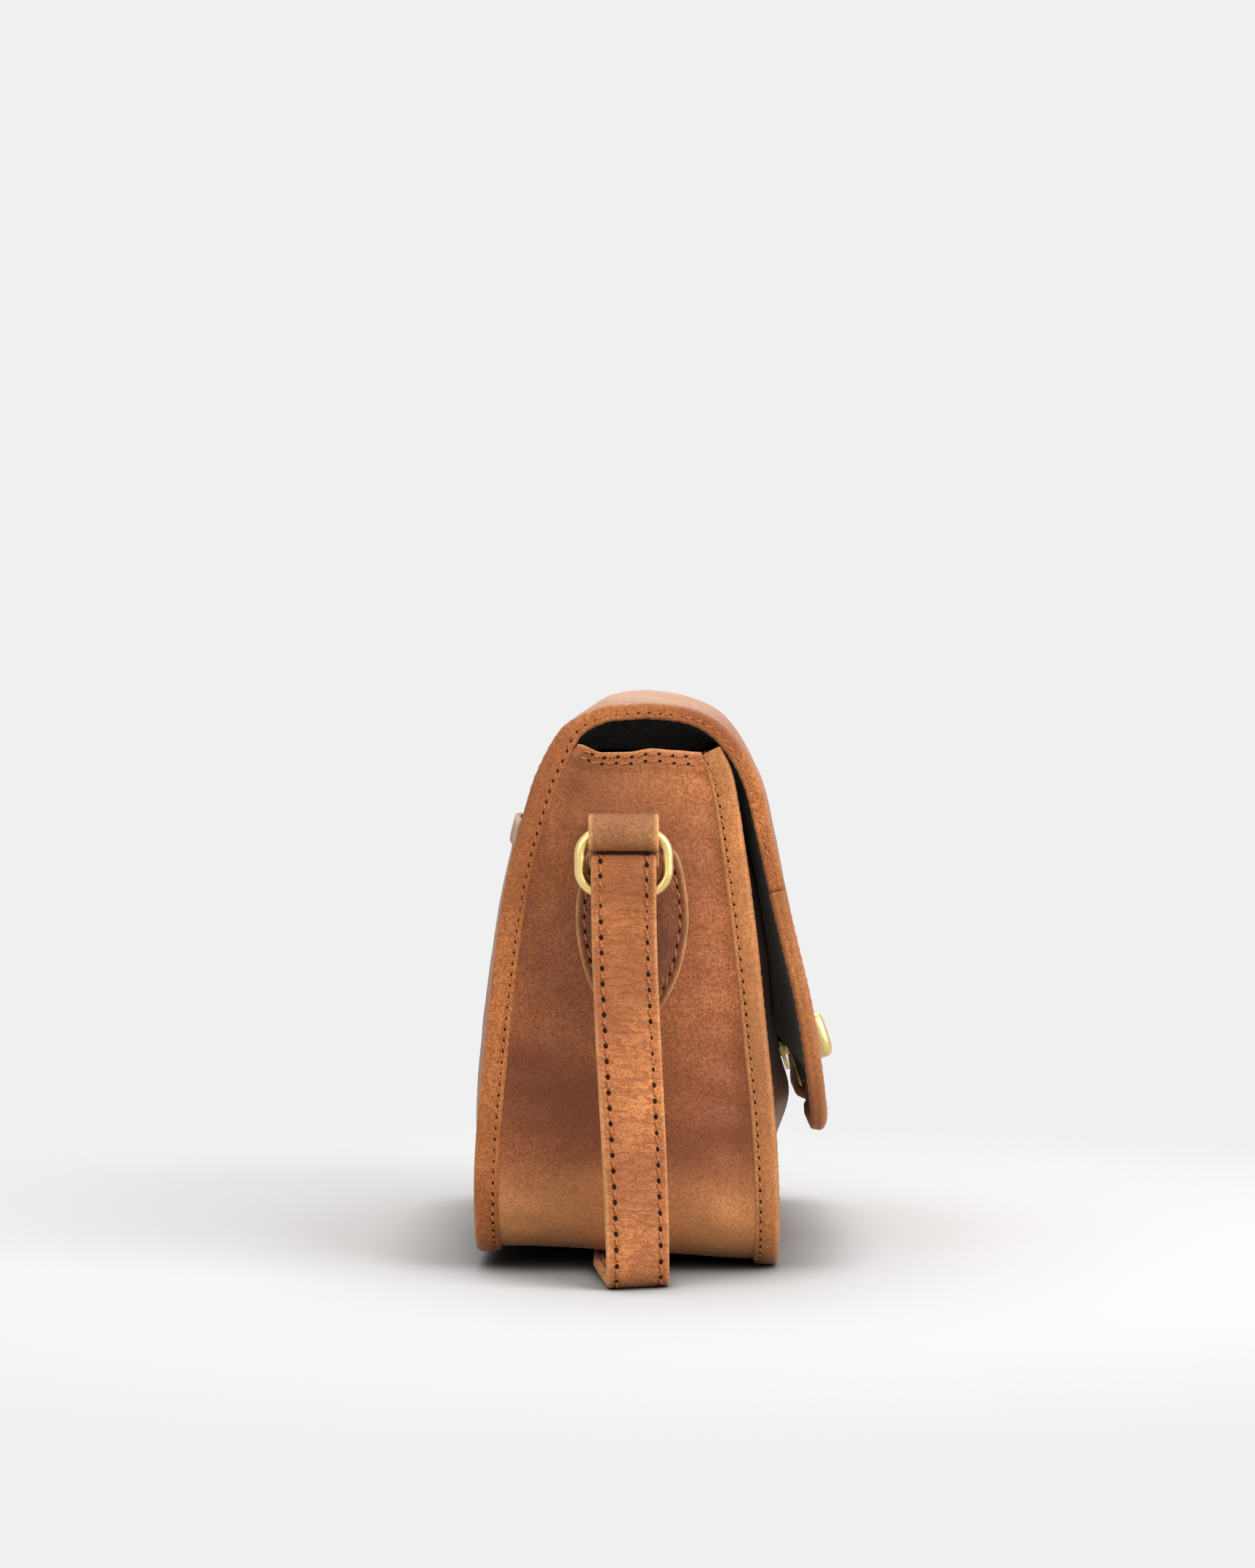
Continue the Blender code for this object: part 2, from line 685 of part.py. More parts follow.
def add_lining():
    """The drop-in lining: an open tub with thin walls."""
    floor = BINDING_PROUD + STRAP_THICKNESS + REAR_LIFT + LEATHER + GAP * 4
    top = FRONT_HEIGHT * 0.955
    half = GUSSET_FACE - LEATHER - GAP * 3
    clear = BINDING_WIDTH + EDGE_GAP * 2
    levels = 12
    stations = []
    radius = CORNER_RADIUS - LEATHER
    for level in range(levels + 1):
        share = level / levels
        height = floor + (top - floor) * share ** 1.6
        front = FRONT_LINE.point(height)
        back_distance = height - REAR_LIFT
        back = BACK_FLAP_LINE.point(back_distance)
        y_front = front.x - clear / FRONT_LINE.normal(height).x
        y_back = back.x - clear / BACK_FLAP_LINE.normal(back_distance).x
        width = corner_half_width(half, radius, height - floor + radius * 0.02)
        stations.append((height, width, y_front, y_back))
    builder = bmesh.new()
    previous = None
    for height, width, y_front, y_back in stations:
        loop = [builder.verts.new(spot) for spot in (
            (-width, y_front, height), (width, y_front, height),
            (width, y_back, height), (-width, y_back, height))]
        edges = [builder.edges.new((loop[index], loop[(index + 1) % 4])) for index in range(4)]
        if previous is None:
            builder.faces.new(loop)
        else:
            bmesh.ops.bridge_loops(builder, edges=previous + edges)
        previous = edges
    piece = add_object("lining", builder, CLOTH_BLACK, 0.9)
    face_out_from_centre(piece)
    wall = piece.modifiers.new("wall", "SOLIDIFY")
    wall.thickness = LINING
    wall.offset = -1
    wall.use_even_offset = True


def cut(piece, cutter):
    """Cut one piece with another, exactly."""
    change = piece.modifiers.new("cut", "BOOLEAN")
    change.operation = "DIFFERENCE"
    change.solver = "EXACT"
    change.object = cutter


def join(piece, other):
    """Unite a piece with a helper, exactly."""
    change = piece.modifiers.new("join", "BOOLEAN")
    change.operation = "UNION"
    change.solver = "EXACT"
    change.object = other


def hide_helper(piece):
    """Mark a cutter or a joined helper as no piece of its own."""
    piece.hide_render = True
    piece.display_type = "WIRE"
    return piece


def cylinder(radius, low, high, turn, sides=ROUND_SIDES, top_radius=None):
    """A closed cylinder along local Z from low to high, then turned into place."""
    builder = bmesh.new()
    bmesh.ops.create_cone(
        builder, cap_ends=True, segments=sides, radius1=radius,
        radius2=radius if top_radius is None else top_radius, depth=high - low)
    bmesh.ops.translate(builder, verts=builder.verts, vec=(0, 0, (high + low) / 2))
    bmesh.ops.transform(builder, verts=builder.verts, matrix=turn)
    return builder


def block(low, high, turn=None):
    """A closed box between two corners."""
    builder = bmesh.new()
    bmesh.ops.create_cube(builder, size=1)
    low, high = Vector(low), Vector(high)
    size = high - low
    for vertex in builder.verts:
        vertex.co = Vector(((low.x + high.x) / 2 + vertex.co.x * size.x,
                            (low.y + high.y) / 2 + vertex.co.y * size.y,
                            (low.z + high.z) / 2 + vertex.co.z * size.z))
    if turn is not None:
        bmesh.ops.transform(builder, verts=builder.verts, matrix=turn)
    return builder


def rounded_outline(half_x, half_y, radius, steps=CORNER_STEPS):
    """Points round a rectangle with rounded corners."""
    points = []
    for corner, (sign_x, sign_y) in enumerate(((1, 1), (-1, 1), (-1, -1), (1, -1))):
        for step in range(steps + 1):
            angle = math.pi / 2 * (corner + step / steps)
            points.append((
                sign_x * (half_x - radius) + radius * math.cos(angle),
                sign_y * (half_y - radius) + radius * math.sin(angle)))
    return points


def without_doubles(points, least=GAP / 10):
    """Drop points that lie on the one before."""
    kept = []
    for point in points:
        if not kept or math.dist(point, kept[-1]) > least:
            kept.append(point)
    if math.dist(kept[0], kept[-1]) <= least:
        kept.pop()
    return kept


def plate(points, low, high, turn):
    """A flat plate of any outline between two heights, then turned into place."""
    builder = bmesh.new()
    corners = [builder.verts.new((x, y, low)) for x, y in without_doubles(points)]
    face = builder.faces.new(corners)
    made = bmesh.ops.extrude_face_region(builder, geom=[face])["geom"]
    raised = [item for item in made if isinstance(item, bmesh.types.BMVert)]
    bmesh.ops.translate(builder, verts=raised, vec=(0, 0, high - low))
    bmesh.ops.transform(builder, verts=builder.verts, matrix=turn)
    return builder


def slot_outline(drop):
    """The slot's outline in the lock's plane, lowered by a drop."""
    radius = SLOT_WIDTH / 2 * 0.98
    return [(x, y - drop) for x, y in rounded_outline(SLOT_WIDTH / 2, SLOT_HEIGHT / 2, radius)]


def add_lock():
    """The turn lock: base, post, toggle and the eyelet plates with their screws."""
    turn = LOCK_PLACE
    base = add_brass("lock_base_plate", plate(
        rounded_outline(BASE_PLATE_WIDTH / 2, BASE_PLATE_HEIGHT / 2, PLATE_CORNER),
        BASE_LOW, BASE_HIGH, turn))
    collar_top = TOGGLE_LOW - TOGGLE_CLEARANCE / 2
    collar = hide_helper(add_brass("lock_collar_helper", cylinder(
        POST_RADIUS, BACKING_LOW, collar_top, turn)))
    join(base, collar)
    bore = hide_helper(add_brass("lock_bore_cutter", cylinder(
        SHANK_RADIUS + GAP, BACKING_LOW - PLATE_THICKNESS, collar_top + PLATE_THICKNESS, turn)))
    cut(base, bore)
    panel_hole = hide_helper(add_brass("lock_panel_cutter", cylinder(
        POST_RADIUS + GAP, BACKING_LOW - PLATE_THICKNESS, BASE_LOW + PLATE_THICKNESS, turn)))
    cut(bpy.data.objects["front_panel"], panel_hole)

    backing = add_object("lock_backing_plate", plate(
        rounded_outline(BASE_PLATE_WIDTH / 2, BASE_PLATE_HEIGHT / 2, PLATE_CORNER),
        BACKING_LOW, BACKING_HIGH, turn), STEEL, 0.4, 1.0)
    cut(backing, panel_hole)

    shank_foot = BACKING_LOW - SPRING_THICKNESS - RETAINER_THICKNESS - GAP * 2
    rim = rounded_outline(TOGGLE_WIDTH / 2, TOGGLE_LENGTH / 2, TOGGLE_WIDTH / 2 * 0.96)
    toggle = add_brass("toggle", toggle_head(rim, turn))
    shank = hide_helper(add_brass("toggle_shank_helper", cylinder(
        SHANK_RADIUS, shank_foot, TOGGLE_LOW + TOGGLE_SIDE / 2, turn)))
    join(toggle, shank)

    shank_hole = hide_helper(add_brass("shank_cutter", cylinder(
        SHANK_RADIUS + GAP / 2, shank_foot - PLATE_THICKNESS, BACKING_LOW, turn)))
    spring_high = BACKING_LOW - GAP
    spring = add_object("toggle_spring_washer", cylinder(
        SPRING_RADIUS, spring_high - SPRING_THICKNESS, spring_high, turn), STEEL, 0.35, 1.0)
    cut(spring, shank_hole)
    keeper_high = spring_high - SPRING_THICKNESS - GAP
    ring = add_object("toggle_retaining_ring", cylinder(
        RETAINER_RADIUS, keeper_high - RETAINER_THICKNESS, keeper_high, turn), BRASS, 0.4, 1.0)
    cut(ring, shank_hole)

    eyelet = [(x, y - SLOT_DROP) for x, y in rounded_outline(
        EYELET_WIDTH / 2, EYELET_HEIGHT / 2, EYELET_WIDTH / 2 * 0.9)]
    slot = hide_helper(add_brass("slot_cutter", plate(
        slot_outline(SLOT_DROP), EYELET_BACK_LOW - PLATE_THICKNESS,
        EYELET_FRONT_HIGH + PLATE_THICKNESS, turn)))
    front = add_brass("eyelet_front_plate", plate(
        eyelet, EYELET_FRONT_LOW, EYELET_FRONT_HIGH, turn))
    back = add_brass("eyelet_back_plate", plate(
        eyelet, EYELET_BACK_LOW, EYELET_BACK_HIGH, turn))
    for piece in (front, back, bpy.data.objects["flap"], bpy.data.objects["flap_lining"]):
        cut(piece, slot)

    for side, label in ((1, "upper"), (-1, "lower")):
        spot = turn @ Matrix.Translation((0, side * SCREW_SPREAD - SLOT_DROP, 0))
        low = EYELET_BACK_LOW + PLATE_THICKNESS * 0.25
        high = EYELET_FRONT_HIGH + PLATE_THICKNESS * 0.25
        hole = hide_helper(add_brass("screw_cutter_" + label, cylinder(
            SCREW_RADIUS + GAP / 2, low - PLATE_THICKNESS, high + PLATE_THICKNESS, spot, 16)))
        add_brass("eyelet_screw_" + label, cylinder(SCREW_RADIUS, low, high, spot, 16))
        for piece in (front, back, bpy.data.objects["flap"], bpy.data.objects["flap_lining"]):
            cut(piece, hole)


def toggle_head(rim, turn):
    """The toggle's head: straight walls, then a dome that closes in steps."""
    builder = bmesh.new()
    bottom = [builder.verts.new((x, y, TOGGLE_LOW)) for x, y in without_doubles(rim)]
    cap = builder.faces.new(bottom)
    levels = [(TOGGLE_LOW + TOGGLE_SIDE, 1.0)]
    steps = 4
    for step in range(1, steps + 1):
        angle = math.pi / 2 * step / (steps + 1)
        levels.append((TOGGLE_LOW + TOGGLE_SIDE + TOGGLE_DOME * math.sin(angle),
                       math.cos(angle) ** 0.5))
    shrink = 1.0
    for height, share in levels:
        cap = extrude_cap(builder, cap, keep=shrink == 1.0 and height == levels[0][0])
        for vertex in cap.verts:
            vertex.co.x *= share / shrink
            vertex.co.y *= share / shrink
            vertex.co.z = height
        shrink = share
    bmesh.ops.transform(builder, verts=builder.verts, matrix=turn)
    return builder


def wire_frame_stations(half_y, half_z, radius, x, centre_y, centre_z):
    """Stations round a rounded rectangle of wire that stands in a YZ plane."""
    points = without_doubles(rounded_outline(half_y, half_z, radius))
    count = len(points)
    stations = []
    for index in range(count + 1):
        here = Vector(points[index % count])
        ahead = Vector(points[(index + 1) % count])
        behind = Vector(points[(index - 1) % count])
        run = ((ahead - here).normalized() + (here - behind).normalized()).normalized()
        centre = Vector((x, centre_y + here.x, centre_z + here.y))
        stations.append((centre, Vector((1, 0, 0)), Vector((0, run.y, -run.x))))
    return stations


def tab_outline():
    """Both sides of the patch, as (y, z) points."""
    half = TAB_WIDTH / 2
    height = TAB_TOP - TAB_BOTTOM
    right = spline([Vector((share_y * half, TAB_BOTTOM + share_z * height))
                    for share_y, share_z in TAB_OUTLINE_SHARES], 3)
    left = [Vector((-point.x, point.y)) for point in reversed(right[:-1])]
    return [(point.x, point.y) for point in right + left]


def add_ring_side(side, label):
    """One ring with its leather tab."""
    def turned(low_x, high_x):
        return sorted((side * low_x, side * high_x))

    stand = Matrix(((0, 0, 1, 0), (1, 0, 0, RING_SHIFT), (0, 1, 0, 0), (0, 0, 0, 1)))
    back, front = turned(TAB_BACK, TAB_BACK + TAB_THICKNESS)
    tab = add_object("ring_tab_" + label, plate(tab_outline(), back, front, stand))

    across = (Matrix.Translation((side * RING_PLANE, RING_SHIFT, RING_AXIS_HEIGHT))
              @ Matrix.Rotation(math.pi / 2, 4, "X"))
    loop_radius = LOOP_BORE_RADIUS + LOOP_WALL
    half = LOOP_WIDTH / 2
    loop = hide_helper(add_object("loop_helper_" + label, cylinder(
        loop_radius, -half, half, across, 24)))
    neck_low, neck_high = turned(TAB_BACK, RING_PLANE)
    neck_foot = RING_AXIS_HEIGHT - loop_radius
    neck = hide_helper(add_object("neck_helper_" + label, block(
        (neck_low, RING_SHIFT - half, neck_foot),
        (neck_high, RING_SHIFT + half, RING_AXIS_HEIGHT + LOOP_WALL))))
    join(tab, neck)
    join(tab, loop)
    bore = hide_helper(add_object("loop_bore_cutter_" + label, cylinder(
        LOOP_BORE_RADIUS, -half - LOOP_WALL, half + LOOP_WALL, across, 24)))
    cut(tab, bore)

    stations = wire_frame_stations(
        RING_WIDTH / 2, RING_HEIGHT / 2, RING_CORNER, 0, 0, -RING_HEIGHT / 2)
    ring = add_brass("ring_" + label, close_sweep(sweep(stations, round_section(RING_WIRE_RADIUS))))
    ring.location = (side * RING_PLANE, RING_SHIFT, RING_AXIS_HEIGHT)


def ribbon(name, path, width, thickness, side=1, hidden_edge=STRAP_EDGE, colour=TAN):
    """A flat strap along (out, z, y, twist) points, out from the bag's middle."""
    stations = []
    for index, (out, z, y, twist) in enumerate(path):
        ahead = path[min(index + 1, len(path) - 1)]
        behind = path[max(index - 1, 0)]
        run = Vector((side * (ahead[0] - behind[0]), 0, ahead[1] - behind[1])).normalized()
        across = Matrix.Rotation(twist, 3, "Z") @ Vector((0, 1, 0))
        up = run.cross(across).normalized()
        stations.append((Vector((side * out, y, z)), across, up))
    section = rounded_section(width / 2, thickness / 2, hidden_edge)
    return add_object(name, sweep(stations, section), colour, 0.6)


def arc(centre_out, centre_z, radius, start, end, steps):
    """Points (out, z) on an arc, angles in degrees from the outward direction."""
    return [
        (centre_out + radius * math.cos(math.radians(start + (end - start) * step / steps)),
         centre_z + radius * math.sin(math.radians(start + (end - start) * step / steps)))
        for step in range(steps + 1)
    ]


DROP_HEIGHT = RING_AXIS_HEIGHT - RING_HEIGHT
EYE_PATH_RADIUS = STRAP_EYE_RADIUS + STRAP_THICKNESS / 2
HALF_PITCH = (STRAP_THICKNESS + FOLD_GAP) / 2


def lean(height):
    """How far the near strap stands off outwards at a height."""
    share = 1 - height / (DROP_HEIGHT - 2 * EYE_PATH_RADIUS)
    return STRAP_LEAN * max(share, 0.0) ** 1.15


def add_straps():
    """The long strap with its stowed folds, and the short strap on the far side."""
    low_eye = DROP_HEIGHT - 1.7 * EYE_PATH_RADIUS
    back_face = RING_PLANE - HALF_PITCH
    front_face = RING_PLANE + HALF_PITCH

    def with_place(points, split=0.0):
        placed = []
        for out, z in points:
            share = smooth_step(1 - z / DROP_HEIGHT)
            placed.append((out, z, RING_SHIFT + STRAP_SHIFT * share, STRAP_TWIST * share + split))
        return placed

    near = []
    steps = 4
    for step in range(steps + 1):
        z = STRAP_END_HEIGHT + (low_eye - STRAP_END_HEIGHT) * step / steps
        near.append((back_face + lean(z), z))
    near += arc(RING_PLANE, DROP_HEIGHT, EYE_PATH_RADIUS, 235, -55, 12)
    foot = FLOOR_BEND_RADIUS + STRAP_THICKNESS / 2 + GAP * 2
    steps = 10
    for step in range(steps + 1):
        z = low_eye + (foot - low_eye) * step / steps
        near.append((front_face + lean(z), z))
    ribbon("strap_near_drop", with_place(near), STRAP_WIDTH, STRAP_THICKNESS, side=-1)

    layer_z = [STRAP_THICKNESS / 2 + LAYER_PITCH * layer for layer in range(FOLD_LAYERS)]
    bend_out = front_face + lean(foot) - FLOOR_BEND_RADIUS
    bend = arc(bend_out, layer_z[0] + FLOOR_BEND_RADIUS, FLOOR_BEND_RADIUS, 0, -90, 6)
    run = [(-out, z) for out, z in bend]
    steps = 10
    start_x = run[-1][0]
    far_x = FOLD_START + FOLD_LENGTH
    for step in range(1, steps + 1):
        run.append((start_x + (far_x - start_x) * step / steps, layer_z[0]))
    fold_radius = LAYER_PITCH / 2
    for layer in range(1, FOLD_LAYERS):
        centre_z = layer_z[layer] - fold_radius
        if layer % 2:
            run += arc(far_x, centre_z, fold_radius, -90, 90, 4)[1:]
            run.append((FOLD_START, layer_z[layer]))
        else:
            run += arc(FOLD_START, centre_z, fold_radius, 270, 90, 4)[1:]
            run.append((far_x, layer_z[layer]))
    buckle_x = RING_PLANE
    rise_x = buckle_x - BUCKLE_WIRE_RADIUS - STRAP_THICKNESS / 2 - GAP
    rise_radius = FLOOR_BEND_RADIUS
    turn_x = rise_x + rise_radius
    run[-1] = (turn_x, layer_z[-1])
    run += arc(turn_x, layer_z[-1] + rise_radius, rise_radius, 270, 180, 6)[1:]
    tip_bar = BUCKLE_BAR_HEIGHT - BUCKLE_HEIGHT
    eye_out = BUCKLE_EYE_RADIUS + STRAP_THICKNESS
    over_x = buckle_x + eye_out + GAP + STRAP_THICKNESS / 2
    run.append((rise_x, tip_bar - BUCKLE_WIRE_RADIUS))
    run.append((rise_x, tip_bar + BUCKLE_WIRE_RADIUS))
    passing = 6
    for step in range(1, passing + 1):
        share = step / passing
        z = tip_bar + BUCKLE_WIRE_RADIUS + (BUCKLE_HEIGHT - 2 * BUCKLE_WIRE_RADIUS) * share
        run.append((rise_x + (over_x - rise_x) * smooth_step(share), z))
    rest_x = front_face + STRAP_THICKNESS + GAP
    run.append((over_x, BUCKLE_BAR_HEIGHT + BUCKLE_EYE_RADIUS))
    run.append((rest_x, BUCKLE_BAR_HEIGHT + 2 * eye_out))
    run.append((rest_x, TAIL_TOP))

    placed = []
    for out, z in run:
        share = smooth_step((-out - HALF_LENGTH * 0.8) / (HALF_LENGTH * 0.4))
        shift = RING_SHIFT + STRAP_SHIFT * share
        placed.append((out, z, shift, -STRAP_TWIST * share))
    tail = ribbon("strap_long", placed, STRAP_WIDTH, STRAP_THICKNESS)
    slot = hide_helper(add_object("tail_slot_cutter", block(
        (rise_x - STRAP_THICKNESS, RING_SHIFT - TAIL_SLOT_WIDTH / 2,
         tip_bar + 2.5 * BUCKLE_WIRE_RADIUS),
        (over_x + 2 * STRAP_THICKNESS, RING_SHIFT + TAIL_SLOT_WIDTH / 2,
         BUCKLE_BAR_HEIGHT - 2 * BUCKLE_WIRE_RADIUS))))
    cut(tail, slot)

    meet = BUCKLE_BAR_HEIGHT + (DROP_HEIGHT - BUCKLE_BAR_HEIGHT) * 0.4
    eye_path = BUCKLE_EYE_RADIUS + STRAP_THICKNESS / 2
    high_eye = BUCKLE_BAR_HEIGHT + 1.7 * eye_path
    short = [(back_face, meet + GAP), (back_face, low_eye)]
    short += arc(RING_PLANE, DROP_HEIGHT, EYE_PATH_RADIUS, 235, -55, 12)
    short += [(front_face, low_eye), (front_face, high_eye)]
    short += arc(buckle_x, BUCKLE_BAR_HEIGHT, eye_path, 55, -235, 12)
    short += [(back_face, high_eye), (back_face, meet)]
    short = [(out, z, RING_SHIFT, 0.0) for out, z in short]
    strap = ribbon("strap_short", short, STRAP_WIDTH, STRAP_THICKNESS)
    crew = hide_helper(add_object("crew_slot_cutter", block(
        (buckle_x - 2 * eye_path, RING_SHIFT - PRONG_SLOT_WIDTH / 2,
         BUCKLE_BAR_HEIGHT - 2 * eye_path),
        (buckle_x + 2 * eye_path, RING_SHIFT + PRONG_SLOT_WIDTH / 2,
         BUCKLE_BAR_HEIGHT + PRONG_COLLAR + GAP))))
    cut(strap, crew)


def add_buckle():
    """The strap buckle: frame, prong and keeper."""
    x = RING_PLANE
    stations = wire_frame_stations(
        BUCKLE_WIDTH / 2, BUCKLE_HEIGHT / 2, BUCKLE_CORNER, x, RING_SHIFT,
        BUCKLE_BAR_HEIGHT - BUCKLE_HEIGHT / 2)
    add_brass("buckle_frame", close_sweep(sweep(stations, round_section(BUCKLE_WIRE_RADIUS))))

    half = PRONG_SLOT_WIDTH / 2 - GAP * 2
    across = (Matrix.Translation((x, RING_SHIFT, BUCKLE_BAR_HEIGHT))
              @ Matrix.Rotation(math.pi / 2, 4, "X"))
    prong = add_brass("buckle_prong", cylinder(PRONG_COLLAR, -half, half, across, 24))
    rest_out = BUCKLE_WIRE_RADIUS + GAP + PRONG_RADIUS
    start = Vector((x + PRONG_COLLAR * 0.6, RING_SHIFT, BUCKLE_BAR_HEIGHT - PRONG_COLLAR * 0.6))
    tip = Vector((x + rest_out, RING_SHIFT,
                  BUCKLE_BAR_HEIGHT - BUCKLE_HEIGHT - PRONG_OVERHANG))
    run = (tip - start).normalized()
    second = Vector((0, 1, 0))
    first = second.cross(run)
    arm = hide_helper(add_brass("prong_arm_helper", sweep(
        [(start, first, second), (tip, first, second)], round_section(PRONG_RADIUS, 8))))
    join(prong, arm)
    bore = hide_helper(add_brass("prong_bore_cutter", cylinder(
        BUCKLE_WIRE_RADIUS + GAP, -half * 2, half * 2, across, 24)))
    cut(prong, bore)

    inner_low = x - HALF_PITCH - STRAP_THICKNESS / 2 - GAP
    inner_high = x + HALF_PITCH + STRAP_THICKNESS * 1.5 + GAP * 2
    half_y = STRAP_WIDTH / 2 + GAP
    keeper = add_object("strap_keeper", block(
        (inner_low - KEEPER_WALL, RING_SHIFT - half_y - KEEPER_WALL, KEEPER_PLACE),
        (inner_high + KEEPER_WALL, RING_SHIFT + half_y + KEEPER_WALL,
         KEEPER_PLACE + KEEPER_HEIGHT)))
    hollow = hide_helper(add_object("keeper_cutter", block(
        (inner_low, RING_SHIFT - half_y, KEEPER_PLACE - KEEPER_WALL),
        (inner_high, RING_SHIFT + half_y, KEEPER_PLACE + KEEPER_HEIGHT + KEEPER_WALL))))
    cut(keeper, hollow)


def hang(name, place, pieces):
    """Parent pieces to an empty that stands on their joint's axis."""
    pivot = bpy.data.objects.new(name, None)
    pivot.location = place
    bpy.context.collection.objects.link(pivot)
    for piece_name in pieces:
        piece = bpy.data.objects[piece_name]
        piece.parent = pivot
        piece.matrix_parent_inverse = Matrix.Translation(-place)


def add_pivots():
    """The empties that the flap, the toggle and the prong turn about."""
    fold = (BACK_FLAP_LINE.point(HINGE_DISTANCE)
            + BACK_FLAP_LINE.normal(HINGE_DISTANCE) * HINGE_STANDOFF)
    hang("flap_pivot", Vector((0, fold.x, fold.y)), (
        "flap", "flap_lining", "flap_binding_front", "flap_binding_left",
        "flap_binding_right", "eyelet_front_plate", "eyelet_back_plate",
        "eyelet_screw_upper", "eyelet_screw_lower"))
    hang("toggle_pivot", LOCK_PLACE.translation, ("toggle", "toggle_retaining_ring"))
    hang("prong_pivot", Vector((RING_PLANE, RING_SHIFT, BUCKLE_BAR_HEIGHT)), ("buckle_prong",))


def build():
    """Build every piece."""
    clear_scene()
    add_panels()
    add_bindings()
    add_gusset()
    add_lining()
    add_lock()
    for side, label in ((-1, "left"), (1, "right")):
        add_ring_side(side, label)
    add_straps()
    add_buckle()
    add_pivots()


build()
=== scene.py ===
"""Looks of a small leather crossbody bag with a turn lock, built on its solids.

Metres, +Z up. The front faces -Y and the length lies along X. The photograph is
taken from the side, along +X, so the near end of the bag is at -X.
"""

import logging
import math
from bisect import bisect_right
from dataclasses import dataclass
from enum import Enum
from typing import Callable, Sequence

import bmesh
import bpy
from mathutils import Matrix, Vector, noise


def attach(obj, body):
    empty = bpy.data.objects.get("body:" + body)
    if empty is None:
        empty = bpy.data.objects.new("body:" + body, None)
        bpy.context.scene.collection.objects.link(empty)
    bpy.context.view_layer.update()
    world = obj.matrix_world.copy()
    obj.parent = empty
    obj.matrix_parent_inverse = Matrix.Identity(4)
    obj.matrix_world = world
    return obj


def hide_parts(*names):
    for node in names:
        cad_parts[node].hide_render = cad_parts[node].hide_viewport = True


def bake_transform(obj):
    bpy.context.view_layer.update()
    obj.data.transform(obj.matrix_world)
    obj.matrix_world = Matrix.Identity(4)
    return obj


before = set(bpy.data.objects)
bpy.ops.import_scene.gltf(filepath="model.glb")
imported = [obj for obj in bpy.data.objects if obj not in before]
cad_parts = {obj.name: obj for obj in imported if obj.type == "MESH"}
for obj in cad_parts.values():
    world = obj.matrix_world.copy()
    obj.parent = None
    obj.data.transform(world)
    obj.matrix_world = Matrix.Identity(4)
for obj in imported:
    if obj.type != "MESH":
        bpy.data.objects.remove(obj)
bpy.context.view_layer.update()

LOG = logging.getLogger("bag")

Builder = bmesh.types.BMesh
Piece = bpy.types.Object
Finish = bpy.types.Material
Triple = tuple[float, float, float]
Colour = tuple[float, float, float]
Spot = tuple[Vector, Vector]
UPlace = tuple[float, float, Vector]

X_AXIS = Vector((1, 0, 0))
Y_AXIS = Vector((0, 1, 0))
Z_AXIS = Vector((0, 0, 1))
BLACK: Colour = (0.0, 0.0, 0.0)


class Body(Enum):
    """The moving bodies of the bag."""

    BAG = "bag"
    FLAP = "flap"
    TOGGLE = "toggle"
    RING_LEFT = "ring_left"
    RING_RIGHT = "ring_right"
    PRONG = "prong"


class Slot(Enum):
    """The record's material slots."""

    TAN = "tan_leather"
    STRAP = "strap_leather"
    FLAP_SKIN = "flap_inner_skin"
    LINING = "body_lining"
    BRASS = "satin_brass"
    STEEL = "plated_steel"


def tone(red: int, green: int, blue: int) -> Colour:
    """Turn a colour written in screen values into the linear values of a shader.

    Args:
        red: 0 to 255.
        green: 0 to 255.
        blue: 0 to 255.

    Returns:
        The linear colour.
    """
    def linear(value: int) -> float:
        """The linear value of one channel."""
        share = value / 255
        return share / 12.92 if share <= 0.04045 else ((share + 0.055) / 1.055) ** 2.4

    return linear(red), linear(green), linear(blue)


def ease(value: float) -> float:
    """Ease from 0 to 1."""
    value = min(max(value, 0.0), 1.0)
    return value * value * (3 - 2 * value)


def near(value: float, centre: float, reach: float) -> float:
    """How near a value is to a centre: 1 on it, 0 a reach away."""
    return ease(1 - abs(value - centre) / reach)


def ripple(point: Vector, size: float, seed: float = 0.0) -> float:
    """Smooth noise from -1 to 1 with swells of a size, in metres."""
    return noise.noise(point / size + Vector((seed, seed * 1.7, -seed)))


def swells(point: Vector, waves: Sequence[Triple], seed: float = 0.0) -> float:
    """The sum of ripples, each given as (height, size, seed)."""
    return sum(height * ripple(point, size, seed + own) for height, size, own in waves)


def read_table(shares: Sequence[float], place: float) -> float:
    """Read a table of evenly spaced shares at a place from 0 to 1.

    Args:
        shares: the table's values.
        place: 0 at the first value, 1 at the last.

    Returns:
        The value there.
    """
    place = min(max(place, 0.0), 1.0) * (len(shares) - 1)
    index = min(int(place), len(shares) - 2)
    rest = ease(place - index)
    return shares[index] * (1 - rest) + shares[index + 1] * rest


def spline(points: Sequence[Vector], steps: int) -> list[Vector]:
    """Points on a smooth curve through the given ones.

    Args:
        points: the curve's own points.
        steps: how many pieces each span is cut into.

    Returns:
        The finer points, the last given one included.
    """
    padded = [points[0] * 2 - points[1], *points, points[-1] * 2 - points[-2]]
    curve = []
    for index in range(1, len(padded) - 2):
        before, start, end, after = padded[index - 1:index + 3]
        for step in range(steps):
            t = step / steps
            curve.append(0.5 * (
                2 * start + (end - before) * t
                + (2 * before - 5 * start + 4 * end - after) * t ** 2
                + (3 * start - before - 3 * end + after) * t ** 3))
    curve.append(points[-1].copy())
    return curve


